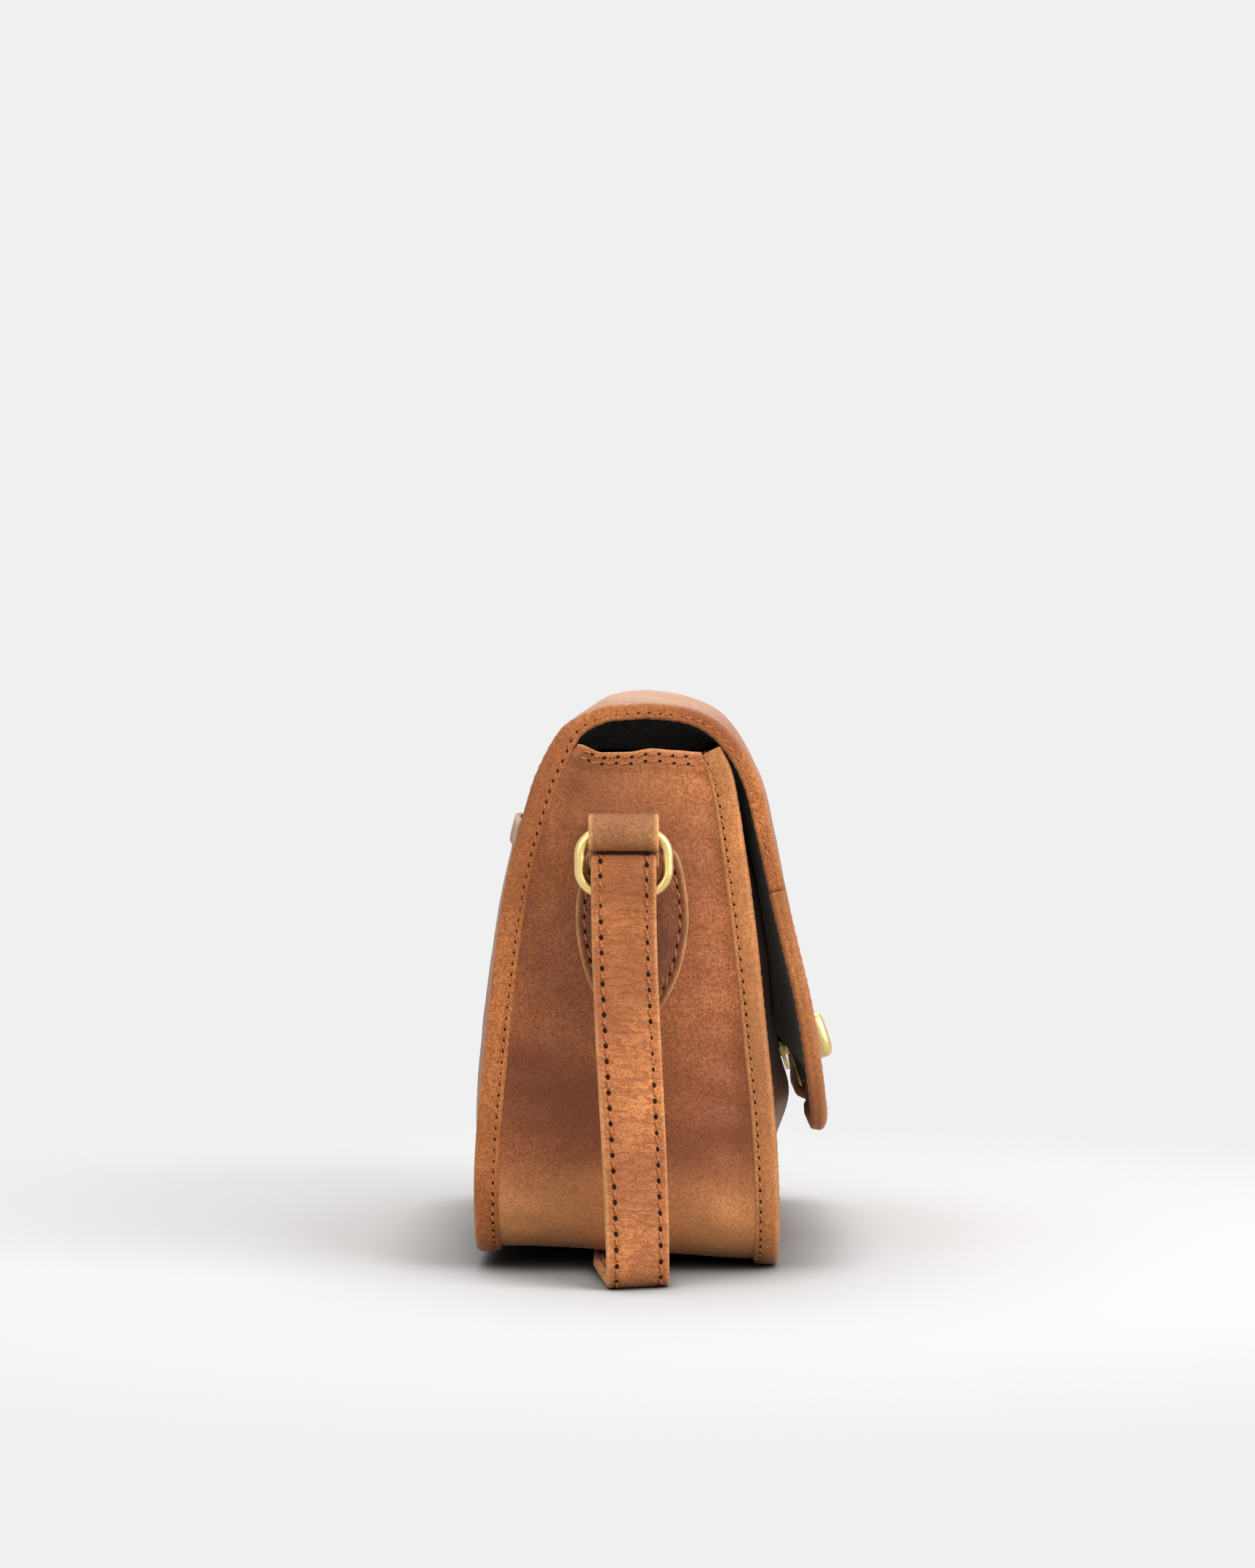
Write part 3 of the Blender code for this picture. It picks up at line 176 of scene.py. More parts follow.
def way_along(points: Sequence[Vector], least: float = 0.0) -> list[float]:
    """The way from the first point to each one.

    Args:
        points: the points, joined straight.
        least: the shortest that a stretch counts as.

    Returns:
        The way to each point.
    """
    marks = [0.0]
    for first, second in zip(points, points[1:]):
        marks.append(marks[-1] + max((second - first).length, least))
    return marks


def find_stretch(marks: Sequence[float], distance: float) -> tuple[int, float]:
    """The stretch between two marks that holds a distance, and the share of it gone."""
    index = min(max(bisect_right(marks, distance) - 1, 0), len(marks) - 2)
    return index, (distance - marks[index]) / max(marks[index + 1] - marks[index], 1e-9)


class SideLine:
    """A side outline (y, z) that is read by the distance along it."""

    def __init__(self, points: Sequence[Vector], outward: int) -> None:
        """Keep the points and measure the way along them.

        Args:
            points: (y, z) points from the foot up.
            outward: 1 or -1, the side that the normal looks to.
        """
        self.points = list(points)
        self.outward = outward
        self.marks = way_along(self.points)
        self.length = self.marks[-1]

    def point(self, distance: float) -> Vector:
        """The (y, z) point at a distance, run on straight past the ends."""
        index, share = find_stretch(self.marks, distance)
        return self.points[index].lerp(self.points[index + 1], share)

    def normal(self, distance: float) -> Vector:
        """The outward normal (y, z), taken over a short reach either side."""
        reach = 0.006
        run = (self.point(distance + reach) - self.point(distance - reach)).normalized()
        return Vector((run.y, -run.x)) * self.outward

    def outward_at(self, distance: float) -> Vector:
        """The outward normal at a distance, in the bag's frame."""
        normal = self.normal(distance)
        return Vector((0, normal.x, normal.y))


@dataclass(frozen=True)
class BagSizes:
    """The main sizes of the bag's body and flap."""

    length: float = 0.250
    depth: float = 0.106
    back_height: float = 0.189
    front_height: float = 0.179
    flap_rise: float = 0.008
    flap_drop: float = 0.141
    flap_reach: float = 0.06996
    rear_lift: float = 0.0045
    corner: float = 0.029
    leather: float = 0.0018
    flap_lining: float = 0.0012
    ply_gap: float = 0.0011
    binding_width: float = 0.0087
    binding_thickness: float = 0.0064
    flap_binding_width: float = 0.0065
    flap_binding_thickness: float = 0.0056
    binding_proud: float = 0.001
    back_crown: float = 0.0065
    back_inset: float = 0.0062
    front_crown: float = 0.0115
    front_inset: float = 0.0062
    flap_crown: float = 0.0075
    flap_inset: float = 0.0015
    gusset_crown: float = 0.005
    gusset_sag: float = 0.0005
    pocket_height: float = 0.158
    pocket_hem: float = 0.0095
    joint_share: float = 0.582

    @property
    def half(self) -> float:
        """Half the length."""
        return self.length / 2


@dataclass(frozen=True)
class LockSizes:
    """Where the lock stands and how its plates are stacked."""

    height: float = 0.0693
    reach: float = 0.0560
    tilt: float = math.radians(18)
    plate: float = 0.0014
    seat_radius: float = 0.019
    seat_fade: float = 0.036
    base_seat_radius: float = 0.0105
    base_seat_fade: float = 0.024
    strip_height: float = 0.00745
    eyelet_drop: float = 0.0022
    slot_half_wide: float = 0.0058
    slot_half_tall: float = 0.0108
    slot_deep: float = 0.02

    @property
    def place(self) -> Matrix:
        """The lock's own frame: Z along its axis, Y up the flap."""
        return (Matrix.Translation((0, -self.reach, self.height))
                @ Matrix.Rotation(math.pi / 2 - self.tilt, 4, "X"))

    @property
    def axis(self) -> Vector:
        """The direction that the lock points to."""
        return Vector((0, -math.cos(self.tilt), math.sin(self.tilt)))


SIZES = BagSizes()
LOCK = LockSizes()

BACK_SHARES = (
    (0.498, 0.024), (0.498, 0.150), (0.489, 0.265), (0.458, 0.447), (0.431, 0.582),
    (0.402, 0.693), (0.369, 0.778), (0.333, 0.847), (0.290, 0.921), (0.206, 1.000),
)
FLAP_TOP_SHARES = (
    (0.134, 0.800), (0.050, 0.930), (-0.042, 0.985), (-0.123, 1.000), (-0.309, 0.800),
)
FLAP_FRONT_SHARES = (
    (-0.457, -0.010), (-0.577, 0.057), (-0.663, 0.145), (-0.721, 0.262), (-0.783, 0.399),
    (-0.841, 0.520), (-0.914, 0.674), (-0.961, 0.816), (-0.998, 0.960), (-0.996, 0.998),
)
FRONT_SHARES = (
    (-0.500, 0.000), (-0.499, 0.130), (-0.486, 0.295), (-0.458, 0.464), (-0.428, 0.637),
    (-0.391, 0.808), (-0.350, 0.955), (-0.306, 1.018),
)
HEM_HEIGHTS = (0.1800, 0.1806, 0.1812, 0.1800, 0.1799, 0.1828)
BACK_FULLNESS = (0.30, 0.75, 0.98, 1.00, 0.95, 0.80, 0.55, 0.38)
FLAP_FULLNESS = (0.42, 1.16, 1.00, 0.66, 0.58, 0.45, 0.28, 0.15, 0.08)
FRONT_FULLNESS = (0.30, 0.64, 0.84, 1.10, 1.21, 1.06, 0.78, 0.34)
CROWN_POWER = 2.4
SPAN_STEPS = 5


class BagLines:
    """The side outlines of the walls and the points of the walls laid on them."""

    def __init__(self, sizes: BagSizes, lock: LockSizes) -> None:
        """Lay out the outlines.

        Args:
            sizes: the bag's sizes.
            lock: the lock's sizes, for the flat places where it sits.
        """
        self.sizes = sizes
        self.lock = lock
        self.lock_place = lock.place
        self.lock_inverse = lock.place.inverted()
        back = [Vector((y * sizes.depth, z * sizes.back_height)) for y, z in BACK_SHARES]
        top = [Vector((y * sizes.flap_reach, sizes.back_height + z * sizes.flap_rise))
               for y, z in FLAP_TOP_SHARES]
        front = [Vector((y * sizes.flap_reach, sizes.back_height - z * sizes.flap_drop))
                 for y, z in FLAP_FRONT_SHARES]
        start = Vector((back[0].x, sizes.rear_lift))
        self.hide = SideLine(spline([start, *back[1:], *top, *front], SPAN_STEPS), 1)
        self.hinge = self.hide.marks[(len(back) - 1) * SPAN_STEPS]
        self.front = SideLine(spline(
            [Vector((y * sizes.depth, z * sizes.front_height)) for y, z in FRONT_SHARES],
            SPAN_STEPS), -1)

    @property
    def flap_length(self) -> float:
        """The way from the hinge to the flap's tip."""
        return self.hide.length - self.hinge

    def lock_pull(self, point: Vector, radius: float, fade: float) -> float:
        """How strongly the lock's plane draws a point: 1 near the lock."""
        local = self.lock_inverse @ point
        return 1 - ease((math.hypot(local.x, local.y) - radius) / fade)

    def seat(self, point: Vector, height: float, radius: float, fade: float) -> Vector:
        """Draw a wall's point onto the lock's plane near the lock.

        Args:
            point: the wall's point.
            height: above the lock's plane.
            radius: within which the wall lies flat.
            fade: the way over which the plane lets go.

        Returns:
            The seated point.
        """
        pull = self.lock_pull(point, radius, fade)
        local = self.lock_inverse @ point
        local.z += (height - local.z) * pull
        return self.lock_place @ local

    def rounded_half(self, half: float, radius: float, distance: float) -> float:
        """Half width of a wall with rounded lower corners, at a distance from its foot.

        Args:
            half: half the full width.
            radius: of the corners.
            distance: from the foot.

        Returns:
            The half width there.
        """
        if distance >= radius:
            return half
        drop = radius - max(distance, 0.0)
        return half - radius + math.sqrt(max(radius ** 2 - drop ** 2, 0.0))

    def hide_point(self, distance: float, across: float, half: float, proud: float) -> Vector:
        """A point of the back and flap leather.

        Args:
            distance: the way from the back's foot, over the top, to the flap's tip.
            across: -1 to 1 over the width.
            half: half the width there, in metres.
            proud: how far outside the leather's face the point lies.

        Returns:
            The point in the bag's frame.
        """
        sizes = self.sizes
        back_share = self.hinge / self.hide.length
        place = distance / self.hide.length
        if place < back_share:
            full = read_table(BACK_FULLNESS, place / back_share) * sizes.back_crown
        else:
            local = (place - back_share) / (1 - back_share)
            full = read_table(FLAP_FULLNESS, local) * sizes.flap_crown
        turn = ease((place / back_share - 0.72) / 0.28)
        inset = sizes.back_inset * (1 - turn) + sizes.flap_inset * turn
        out = full * (1 - abs(across) ** CROWN_POWER) - inset + proud
        flat = self.hide.point(distance) + self.hide.normal(distance) * out
        return Vector((across * half, flat.x, flat.y))

    def front_point(self, distance: float, across: float, half: float, proud: float) -> Vector:
        """A point of the front panel's leather, in the same terms as hide_point.

        Args:
            distance: the way up from the front's foot.
            across: -1 to 1 over the width.
            half: half the width there.
            proud: how far outside the leather's face the point lies.

        Returns:
            The point in the bag's frame.
        """
        sizes = self.sizes
        full = read_table(FRONT_FULLNESS, distance / self.front.length) * sizes.front_crown
        out = full * (1 - abs(across) ** CROWN_POWER) - sizes.front_inset + proud
        flat = self.front.point(distance) + self.front.normal(distance) * out
        return Vector((across * half, flat.x, flat.y))

    def gusset_point(self, place: UPlace, v: float) -> Vector:
        """A point of the gusset between the two bindings.

        Args:
            place: (x, way up the front outline, outward direction) on the gusset's U.
            v: 0 at the front binding, 1 at the back binding.

        Returns:
            The point in the bag's frame.
        """
        x, height, out = place
        sizes = self.sizes
        back_distance = height * self.hinge / self.front.length
        edge = sizes.binding_width - 0.0012
        front = self.front.point(height) - self.front.normal(height) * edge
        back = self.hide.point(back_distance) - self.hide.normal(back_distance) * edge
        flat = front.lerp(back, v)
        level = max(-out.y, 0.0)
        swell = sizes.gusset_crown * (1 - level) - sizes.gusset_sag * level
        proud = swell * 4 * v * (1 - v)
        return Vector((x + out.x * proud, flat.x, flat.y + out.y * proud))

    def gusset_side_x(self, y: float, z: float) -> float:
        """How far out the side gusset's face stands at a height and depth.

        Args:
            y: the place over the bag's depth.
            z: the height.

        Returns:
            The way out from the middle.
        """
        front = self.front.point(z).x + self.sizes.binding_width
        back = self.hide.point(z - self.sizes.rear_lift).x - self.sizes.binding_width
        v = min(max((y - front) / (back - front), 0.0), 1.0)
        flat = self.sizes.half - self.sizes.binding_proud
        return flat + self.sizes.gusset_crown * 4 * v * (1 - v)


LINES = BagLines(SIZES, LOCK)


# Shared ways to make meshes

Placed = tuple[Vector, float]


def grid(columns: int, rows: int, place: Callable[[float, float], Placed]) -> Builder:
    """A sheet: a grid whose vertices are laid by place(u, v).

    Args:
        columns: faces across, u from -1 to 1.
        rows: faces up, v from 0 to 1.
        place: gives the point and its wear there, 0 to 1, which also carries painted highlight;
            below 0, down to -1, it carries painted shade.

    Returns:
        The mesh in the making, with the wear, painted highlight and painted shade kept in a vertex
        layer.
    """
    builder = bmesh.new()
    bmesh.ops.create_grid(builder, x_segments=columns, y_segments=rows, size=1)
    wear_and_painted_light = builder.verts.layers.float.new("wear_and_painted_light")
    for vertex in builder.verts:
        vertex.co, vertex[wear_and_painted_light] = place(vertex.co.x, (vertex.co.y + 1) / 2)
    return builder


Station = tuple[Vector, Vector, Vector]


def tube(stations: Sequence[Station], section: Callable[[int, float], Triple],
         sides: int, closed: bool = False) -> Builder:
    """A closed form that follows stations with a section that may change on its way.

    Args:
        stations: centre and the two directions of the section at each place.
        section: gives (first, second, wear and painted light) for a station's index and a turn 0 to
            1.
        sides: faces round the section.
        closed: whether the last station meets the first.

    Returns:
        The mesh in the making.
    """
    count = len(stations) - 1

    def place(u: float, v: float) -> Placed:
        """Lay a point round a station's section."""
        index = round(v * count)
        centre, first, second = stations[index]
        a, b, worn = section(index, (u + 1) / 2)
        return centre + first * a + second * b, worn

    builder = grid(sides, count, place)
    bmesh.ops.remove_doubles(builder, verts=builder.verts[:], dist=1e-6)
    if not closed:
        rims = [edge for edge in builder.edges if edge.is_boundary]
        bmesh.ops.holes_fill(builder, edges=rims, sides=0)
    bmesh.ops.recalc_face_normals(builder, faces=builder.faces[:])
    return builder


def oval(turn: float, half_a: float, half_b: float, power: float) -> tuple[float, float]:
    """A point of a rounded rectangle: a higher power has squarer corners.

    Args:
        turn: 0 to 1 round it.
        half_a: half its first side.
        half_b: half its second side.
        power: 2 for an ellipse.

    Returns:
        The two places of the point.
    """
    angle = 2 * math.pi * turn
    c, s = math.cos(angle), math.sin(angle)
    return (half_a * math.copysign(abs(c) ** (2 / power), c),
            half_b * math.copysign(abs(s) ** (2 / power), s))


def finish_piece(name: str, builder: Builder, materials: Sequence[Finish],
                 slot: Slot, smooth: bool = True) -> Piece:
    """Put a mesh in the scene as one named piece.

    Args:
        name: the piece's name.
        builder: its mesh in the making, which is freed.
        materials: its materials, in slot order.
        slot: the record's slot; not used.
        smooth: whether it is shaded smooth.

    Returns:
        The new object, at the origin.
    """
    mesh = bpy.data.meshes.new(name)
    builder.to_mesh(mesh)
    builder.free()
    piece = bpy.data.objects.new(name, mesh)
    bpy.context.collection.objects.link(piece)
    for material in materials:
        mesh.materials.append(material)
    if smooth:
        mesh.shade_smooth()
    LOG.info("made %s with %d faces", name, len(mesh.polygons))
    return piece


def look_out(builder: Builder, direction: Vector) -> None:
    """Turn a sheet's faces over if most of them look against a direction.

    Args:
        builder: the sheet.
        direction: where its faces look.
    """
    total = Vector()
    for face in builder.faces:
        total += face.normal * face.calc_area()
    if total.dot(direction) < 0:
        bmesh.ops.reverse_faces(builder, faces=builder.faces[:])


def look_out_from(builder: Builder, middle: Vector) -> None:
    """Turn a sheet's faces away from a point.

    Args:
        builder: the sheet.
        middle: the point inside it.
    """
    builder.normal_update()
    total = sum(face.normal.dot(face.calc_center_median() - middle) * face.calc_area()
                for face in builder.faces)
    if total < 0:
        bmesh.ops.reverse_faces(builder, faces=builder.faces[:])


def add_wall(piece: Piece, thickness: float, rim: float = 0.0) -> None:
    """Give a sheet its thickness inwards and, if asked, a rounded rim.

    Args:
        piece: the sheet.
        thickness: of the wall.
        rim: how wide its edges are rounded.
    """
    wall = piece.modifiers.new("wall", "SOLIDIFY")
    wall.thickness = thickness
    wall.offset = -1
    if rim:
        bevel = piece.modifiers.new("rim", "BEVEL")
        bevel.width = rim
        bevel.segments = 3
        bevel.limit_method = "ANGLE"
        bevel.angle_limit = math.radians(50)


def resample(spots: Sequence[Spot], pitch: float) -> list[Station]:
    """Even places along a row of points with normals.

    Args:
        spots: points with their normals.
        pitch: the way between two places.

    Returns:
        Middle, direction and normal of each stretch one pitch long.
    """
    marks = way_along([point for point, _ in spots])
    count = max(int(marks[-1] / pitch), 1)
    pitch = marks[-1] / count
    places = []
    for step in range(count):
        index, share = find_stretch(marks, (step + 0.5) * pitch)
        (first, first_normal), (second, second_normal) = spots[index:index + 2]
        places.append((first.lerp(second, share), (second - first).normalized(),
                       first_normal.lerp(second_normal, share).normalized()))
    return places


@dataclass(frozen=True)
class Thread:
    """How a seam is sewn."""

    pitch: float = 0.0038
    thickness: float = 0.00042
    cover: float = 0.66
    slant: float = math.radians(14)
    hole_shade: float = 0.00052


HEM_THREAD = Thread(pitch=0.0046, thickness=0.00048)
STRAP_THREAD = Thread(pitch=0.0053, thickness=0.00050, cover=0.62, hole_shade=0.00078)
TAB_THREAD = Thread(pitch=0.0050, thickness=0.00040, cover=0.66, hole_shade=0.00066)


def sew(name: str, rows: Sequence[Sequence[Spot]], thread: Thread,
        materials: Sequence[Finish], slot: Slot = Slot.TAN) -> Piece:
    """Sew rows of stitches: a short thread over two needle holes at each pitch; each hole is a dark
    disc of painted shade.

    Args:
        name: the piece's name.
        rows: the rows, each a line of points with the surface's normals.
        thread: how it is sewn.
        materials: the thread's material and the painted shade of the holes.
        slot: the record's slot.

    Returns:
        The piece with all the rows.
    """
    stitch, hole_shade = Pattern(0, 7, 5), Pattern(1, 6, 4)
    builder = bmesh.new()
    for row in rows:
        for point, run, normal in resample(row, thread.pitch):
            side = normal.cross(run).normalized()
            run = side.cross(normal).normalized()
            wobble = noise.noise(point * 400) * 0.5
            turn = Matrix.Rotation(thread.slant * (1 + wobble), 3, normal)
            base = Matrix((turn @ run, turn @ side, normal)).transposed().to_4x4()
            length = thread.pitch * thread.cover / 2
            lift = normal * thread.thickness * 0.25
            stitch.stamp(builder, Matrix.Translation(point + lift) @ base @ Matrix.Diagonal(
                (length, thread.thickness, thread.thickness * 0.85, 1)))
            # A dark disc of painted shade where the needle hole is.
            spot = point - run * thread.pitch / 2 - normal * thread.hole_shade * 0.1
            hole_shade.stamp(builder, Matrix.Translation(spot) @ base @ Matrix.Diagonal(
                (thread.hole_shade * 1.25, thread.hole_shade, thread.hole_shade * 0.32, 1)))
    stitch.remove()
    hole_shade.remove()
    return finish_piece(name, builder, materials, slot)


class Pattern:
    """A small ball with its poles on X that is copied many times into a mesh."""

    def __init__(self, index: int, around: int, along: int) -> None:
        """Make the ball.

        Args:
            index: the material slot of its faces.
            around: faces round it.
            along: faces from pole to pole.
        """
        builder = bmesh.new()
        bmesh.ops.create_uvsphere(builder, u_segments=around, v_segments=along, radius=1,
                                  matrix=Matrix.Rotation(math.pi / 2, 4, "Y"))
        for face in builder.faces:
            face.material_index = index
        self.mesh = bpy.data.meshes.new("pattern")
        builder.to_mesh(self.mesh)
        builder.free()
        self.places = [value for vertex in self.mesh.vertices for value in vertex.co]

    def stamp(self, builder: Builder, place: Matrix) -> None:
        """Add a copy, put in place by a matrix, to a mesh in the making.

        Args:
            builder: the mesh in the making.
            place: the copy's place and size.
        """
        self.mesh.transform(place)
        builder.from_mesh(self.mesh)
        self.mesh.vertices.foreach_set("co", self.places)

    def remove(self) -> None:
        """Take the ball out of the file."""
        bpy.data.meshes.remove(self.mesh)


# Finishes

Socket = bpy.types.NodeSocket


def add_node(tree: bpy.types.NodeTree, kind: str,
             values: dict[str | int, object] | None = None, **settings: object) -> bpy.types.Node:
    """Add a node to a tree.

    Args:
        tree: the nodes of a material or of the world.
        kind: the node's type.
        values: input name or place to a number, or to a socket that is linked.
        **settings: the node's own settings.

    Returns:
        The new node.
    """
    node = tree.nodes.new(kind)
    for key, value in settings.items():
        setattr(node, key, value)
    for key, value in (values or {}).items():
        socket = node.inputs[key]
        if isinstance(value, Socket):
            tree.links.new(value, socket)
        else:
            socket.default_value = value
    return node


class Nodes:
    """A short way to lay out one material's nodes."""

    def __init__(self, name: str) -> None:
        """Start a material with an empty shader.

        Args:
            name: the material's name.
        """
        self.material = bpy.data.materials.new(name)
        self.material.use_nodes = True
        self.tree = self.material.node_tree
        self.shader = self.tree.nodes["Principled BSDF"]
        self.coords = self.tree.nodes.new("ShaderNodeTexCoord").outputs["Object"]

    def add(self, kind: str, values: dict[str | int, object] | None = None,
            **settings: object) -> bpy.types.Node:
        """Add a node, in the same terms as add_node."""
        return add_node(self.tree, kind, values, **settings)

    def stretch(self, scale: Sequence[float], turn: Sequence[float]) -> Socket:
        """Object coordinates, stretched and turned."""
        return self.add("ShaderNodeMapping", {
            "Vector": self.coords, "Scale": scale, "Rotation": turn}).outputs["Vector"]

    def cloud(self, scale: float, detail: float = 4.0, rough: float = 0.55,
              vector: Socket | None = None, warp: float = 0.0) -> Socket:
        """Noise of a scale, per metre."""
        return self.add("ShaderNodeTexNoise", {
            "Vector": vector or self.coords, "Scale": scale, "Detail": detail,
            "Roughness": rough, "Distortion": warp}).outputs["Fac"]

    def range(self, value: Socket, low: float, high: float, to_low: float = 0.0,
              to_high: float = 1.0) -> Socket:
        """Map a value from one range to another, held at its ends."""
        return self.add("ShaderNodeMapRange", {
            "Value": value, "From Min": low, "From Max": high, "To Min": to_low,
            "To Max": to_high}, interpolation_type="SMOOTHSTEP").outputs["Result"]

    def math(self, operation: str, first: Socket | float, second: Socket | float) -> Socket:
        """A sum of two values or sockets."""
        return self.add("ShaderNodeMath", {0: first, 1: second},
                        operation=operation).outputs["Value"]

    def mix(self, share: Socket | float, first: Socket | Colour,
            second: Socket | Colour) -> Socket:
        """Mix two colours or colour sockets."""
        first, second = ((*value, 1.0) if isinstance(value, tuple) else value
                         for value in (first, second))
        return self.add("ShaderNodeMix", {0: share, 6: first, 7: second},
                        data_type="RGBA").outputs[2]

    def attribute(self, name: str) -> Socket:
        """A number kept on the mesh's vertices."""
        return self.add("ShaderNodeAttribute", attribute_name=name).outputs["Fac"]

    def link(self, value: Socket, socket: str) -> None:
        """Link a value to the shader."""
        self.tree.links.new(value, self.shader.inputs[socket])

    def set(self, values: dict[str, object]) -> None:
        """Give the shader's inputs their values by name."""
        for socket, value in values.items():
            self.shader.inputs[socket].default_value = value

    def bump(self, height: Socket, strength: float, distance: float) -> None:
        """Bump the shader's surface by a height."""
        node = self.add("ShaderNodeBump", {
            "Height": height, "Strength": strength, "Distance": distance})
        self.link(node.outputs["Normal"], "Normal")


@dataclass(frozen=True)
class LeatherFinish:
    """Waxed pull-up leather: mottled, fine pored, paler where it is rubbed or bent, with painted
    highlight and painted shade from the meshes' wear layer, and painted shade in any creases.
    """

    name: str
    dark: Colour
    body: Colour
    worn: Colour
    mottle: float = 11.0
    pore: float = 1500.0
    fade: float = 0.24
    grain: float = 0.62
    roughness: float = 0.54
    bump: float = 0.75
    crease: float = 0.0
    scratch: float = 0.22
    seed: float = 0.0

    def material(self) -> Finish:
        """Lay out the nodes.

        Returns:
            The finished material.
        """
        nodes = Nodes(self.name)
        shifted = nodes.add("ShaderNodeMapping", {
            "Vector": nodes.coords,
            "Location": (self.seed, self.seed * 2, -self.seed)}).outputs["Vector"]
        patches = nodes.cloud(self.mottle, 3, 0.50, shifted, 0.3)
        clouds = nodes.cloud(self.mottle * 5.0, 5, 0.62, shifted, 0.6)
        specks = nodes.cloud(760, 4, 0.70, shifted, 0.6)
        colour = nodes.mix(nodes.range(patches, 0.34, 0.68), self.dark, self.body)
        colour = nodes.mix(nodes.range(clouds, 0.50, 0.80, 0, self.fade), colour, self.worn)
        colour = nodes.mix(nodes.range(clouds, 0.28, 0.52, self.fade, 0), colour, self.dark)
        colour = nodes.mix(nodes.range(specks, 0.38, 0.60, self.grain, 0), colour, self.dark)
        lines = nodes.stretch((46, 46, 340), (0.5, 0.3, 0.2))
        marks = nodes.cloud(1.0, 3, 0.7, lines, 0.4)
        colour = nodes.mix(nodes.range(marks, 0.68, 0.76, 0, self.scratch), colour, self.worn)
        dots = nodes.add("ShaderNodeTexVoronoi", {
            "Vector": nodes.mix(0.0022, shifted, nodes.add("ShaderNodeTexNoise", {
                "Vector": shifted, "Scale": 420.0}).outputs["Color"]),
            "Scale": self.pore, "Randomness": 1.0}).outputs["Distance"]
        pits = nodes.range(dots, 0.10, 0.42)
        pitted = nodes.math("MULTIPLY", nodes.math("SUBTRACT", 1.0, pits), 0.72)
        colour = nodes.mix(pitted, colour, nodes.mix(0.55, self.dark, BLACK))
        height = nodes.math("ADD", nodes.math("MULTIPLY", pits, 0.5),
                            nodes.math("MULTIPLY", specks, 0.6))
        height = nodes.math("ADD", height, nodes.math("MULTIPLY", clouds, 0.8))
        # Creases: a bump, with their valleys darkened as painted shade.
        if self.crease:
            folds = nodes.stretch((520, 130, 520), (0.0, 0.6, 0.45))
            wrinkles = nodes.cloud(1.0, 4, 0.6, folds, 0.8)
            valley = nodes.range(wrinkles, 0.36, 0.52)
            crease_shade = nodes.math("MULTIPLY", nodes.math("SUBTRACT", 1.0, valley), self.crease)
            colour = nodes.mix(crease_shade, colour, self.dark)
            height = nodes.math("ADD", height, nodes.math("MULTIPLY", valley, self.crease * 1.6))
        # Above 0 the wear layer pales the leather, for rubbing and for painted highlight; below 0
        # it darkens it towards near black, which is painted shade.
        wear_and_painted_light = nodes.attribute("wear_and_painted_light")
        colour = nodes.mix(nodes.range(wear_and_painted_light, 0.0, 1.0, 0.0, 0.85), colour, self.worn)
        colour = nodes.mix(nodes.range(specks, 0.38, 0.60, self.grain * 0.42, 0), colour, self.dark)
        # The near-black colour of painted shade.
        deep = nodes.mix(0.35, self.dark, BLACK)
        colour = nodes.mix(nodes.range(wear_and_painted_light, 0.0, -1.0, 0.0, 0.90), colour, deep)
        nodes.link(colour, "Base Color")
        nodes.link(nodes.range(clouds, 0.3, 0.7, self.roughness - 0.07, self.roughness + 0.09),
                   "Roughness")
        nodes.set({"Specular IOR Level": 0.30, "Sheen Weight": 0.14, "Sheen Roughness": 0.35,
                   "Sheen Tint": (1.0, 0.92, 0.82, 1.0)})
        nodes.bump(height, self.bump, 0.0005)
        return nodes.material


@dataclass(frozen=True)
class BrassFinish:
    """Satin brass with faint rubbing marks."""

    name: str
    body: Colour
    shade: Colour
    roughness: float = 0.30

    def material(self) -> Finish:
        """Lay out the nodes.

        Returns:
            The finished material.
        """
        nodes = Nodes(self.name)
        lines = nodes.stretch((260, 260, 1900), (0.4, 0.2, 0.1))
        rubs = nodes.cloud(1.0, 3, 0.6, lines)
        smears = nodes.cloud(130, 4, 0.6)
        smeared = nodes.range(smears, 0.36, 0.66, 0, 0.45)
        nodes.link(nodes.mix(smeared, self.body, self.shade), "Base Color")
        nodes.link(nodes.range(rubs, 0.3, 0.7, self.roughness - 0.05, self.roughness + 0.09),
                   "Roughness")
        nodes.set({"Metallic": 1.0})
        nodes.bump(nodes.math("ADD", rubs, smears), 0.04, 0.00010)
        return nodes.material


@dataclass(frozen=True)
class ThreadFinish:
    """Twisted thread."""

    name: str
    body: Colour
    shade: Colour

    def material(self) -> Finish:
        """Lay out the nodes.

        Returns:
            The finished material.
        """
        nodes = Nodes(self.name)
        twist = nodes.add("ShaderNodeTexWave", {
            "Vector": nodes.stretch((1, 1, 1), (0.3, 0.5, 0.7)), "Scale": 520.0,
            "Distortion": 1.2, "Detail": 1.0}).outputs["Fac"]
        nodes.link(nodes.mix(nodes.range(twist, 0.2, 0.8), self.shade, self.body), "Base Color")
        nodes.set({"Roughness": 0.62})
        nodes.bump(twist, 0.5, 0.0002)
        return nodes.material


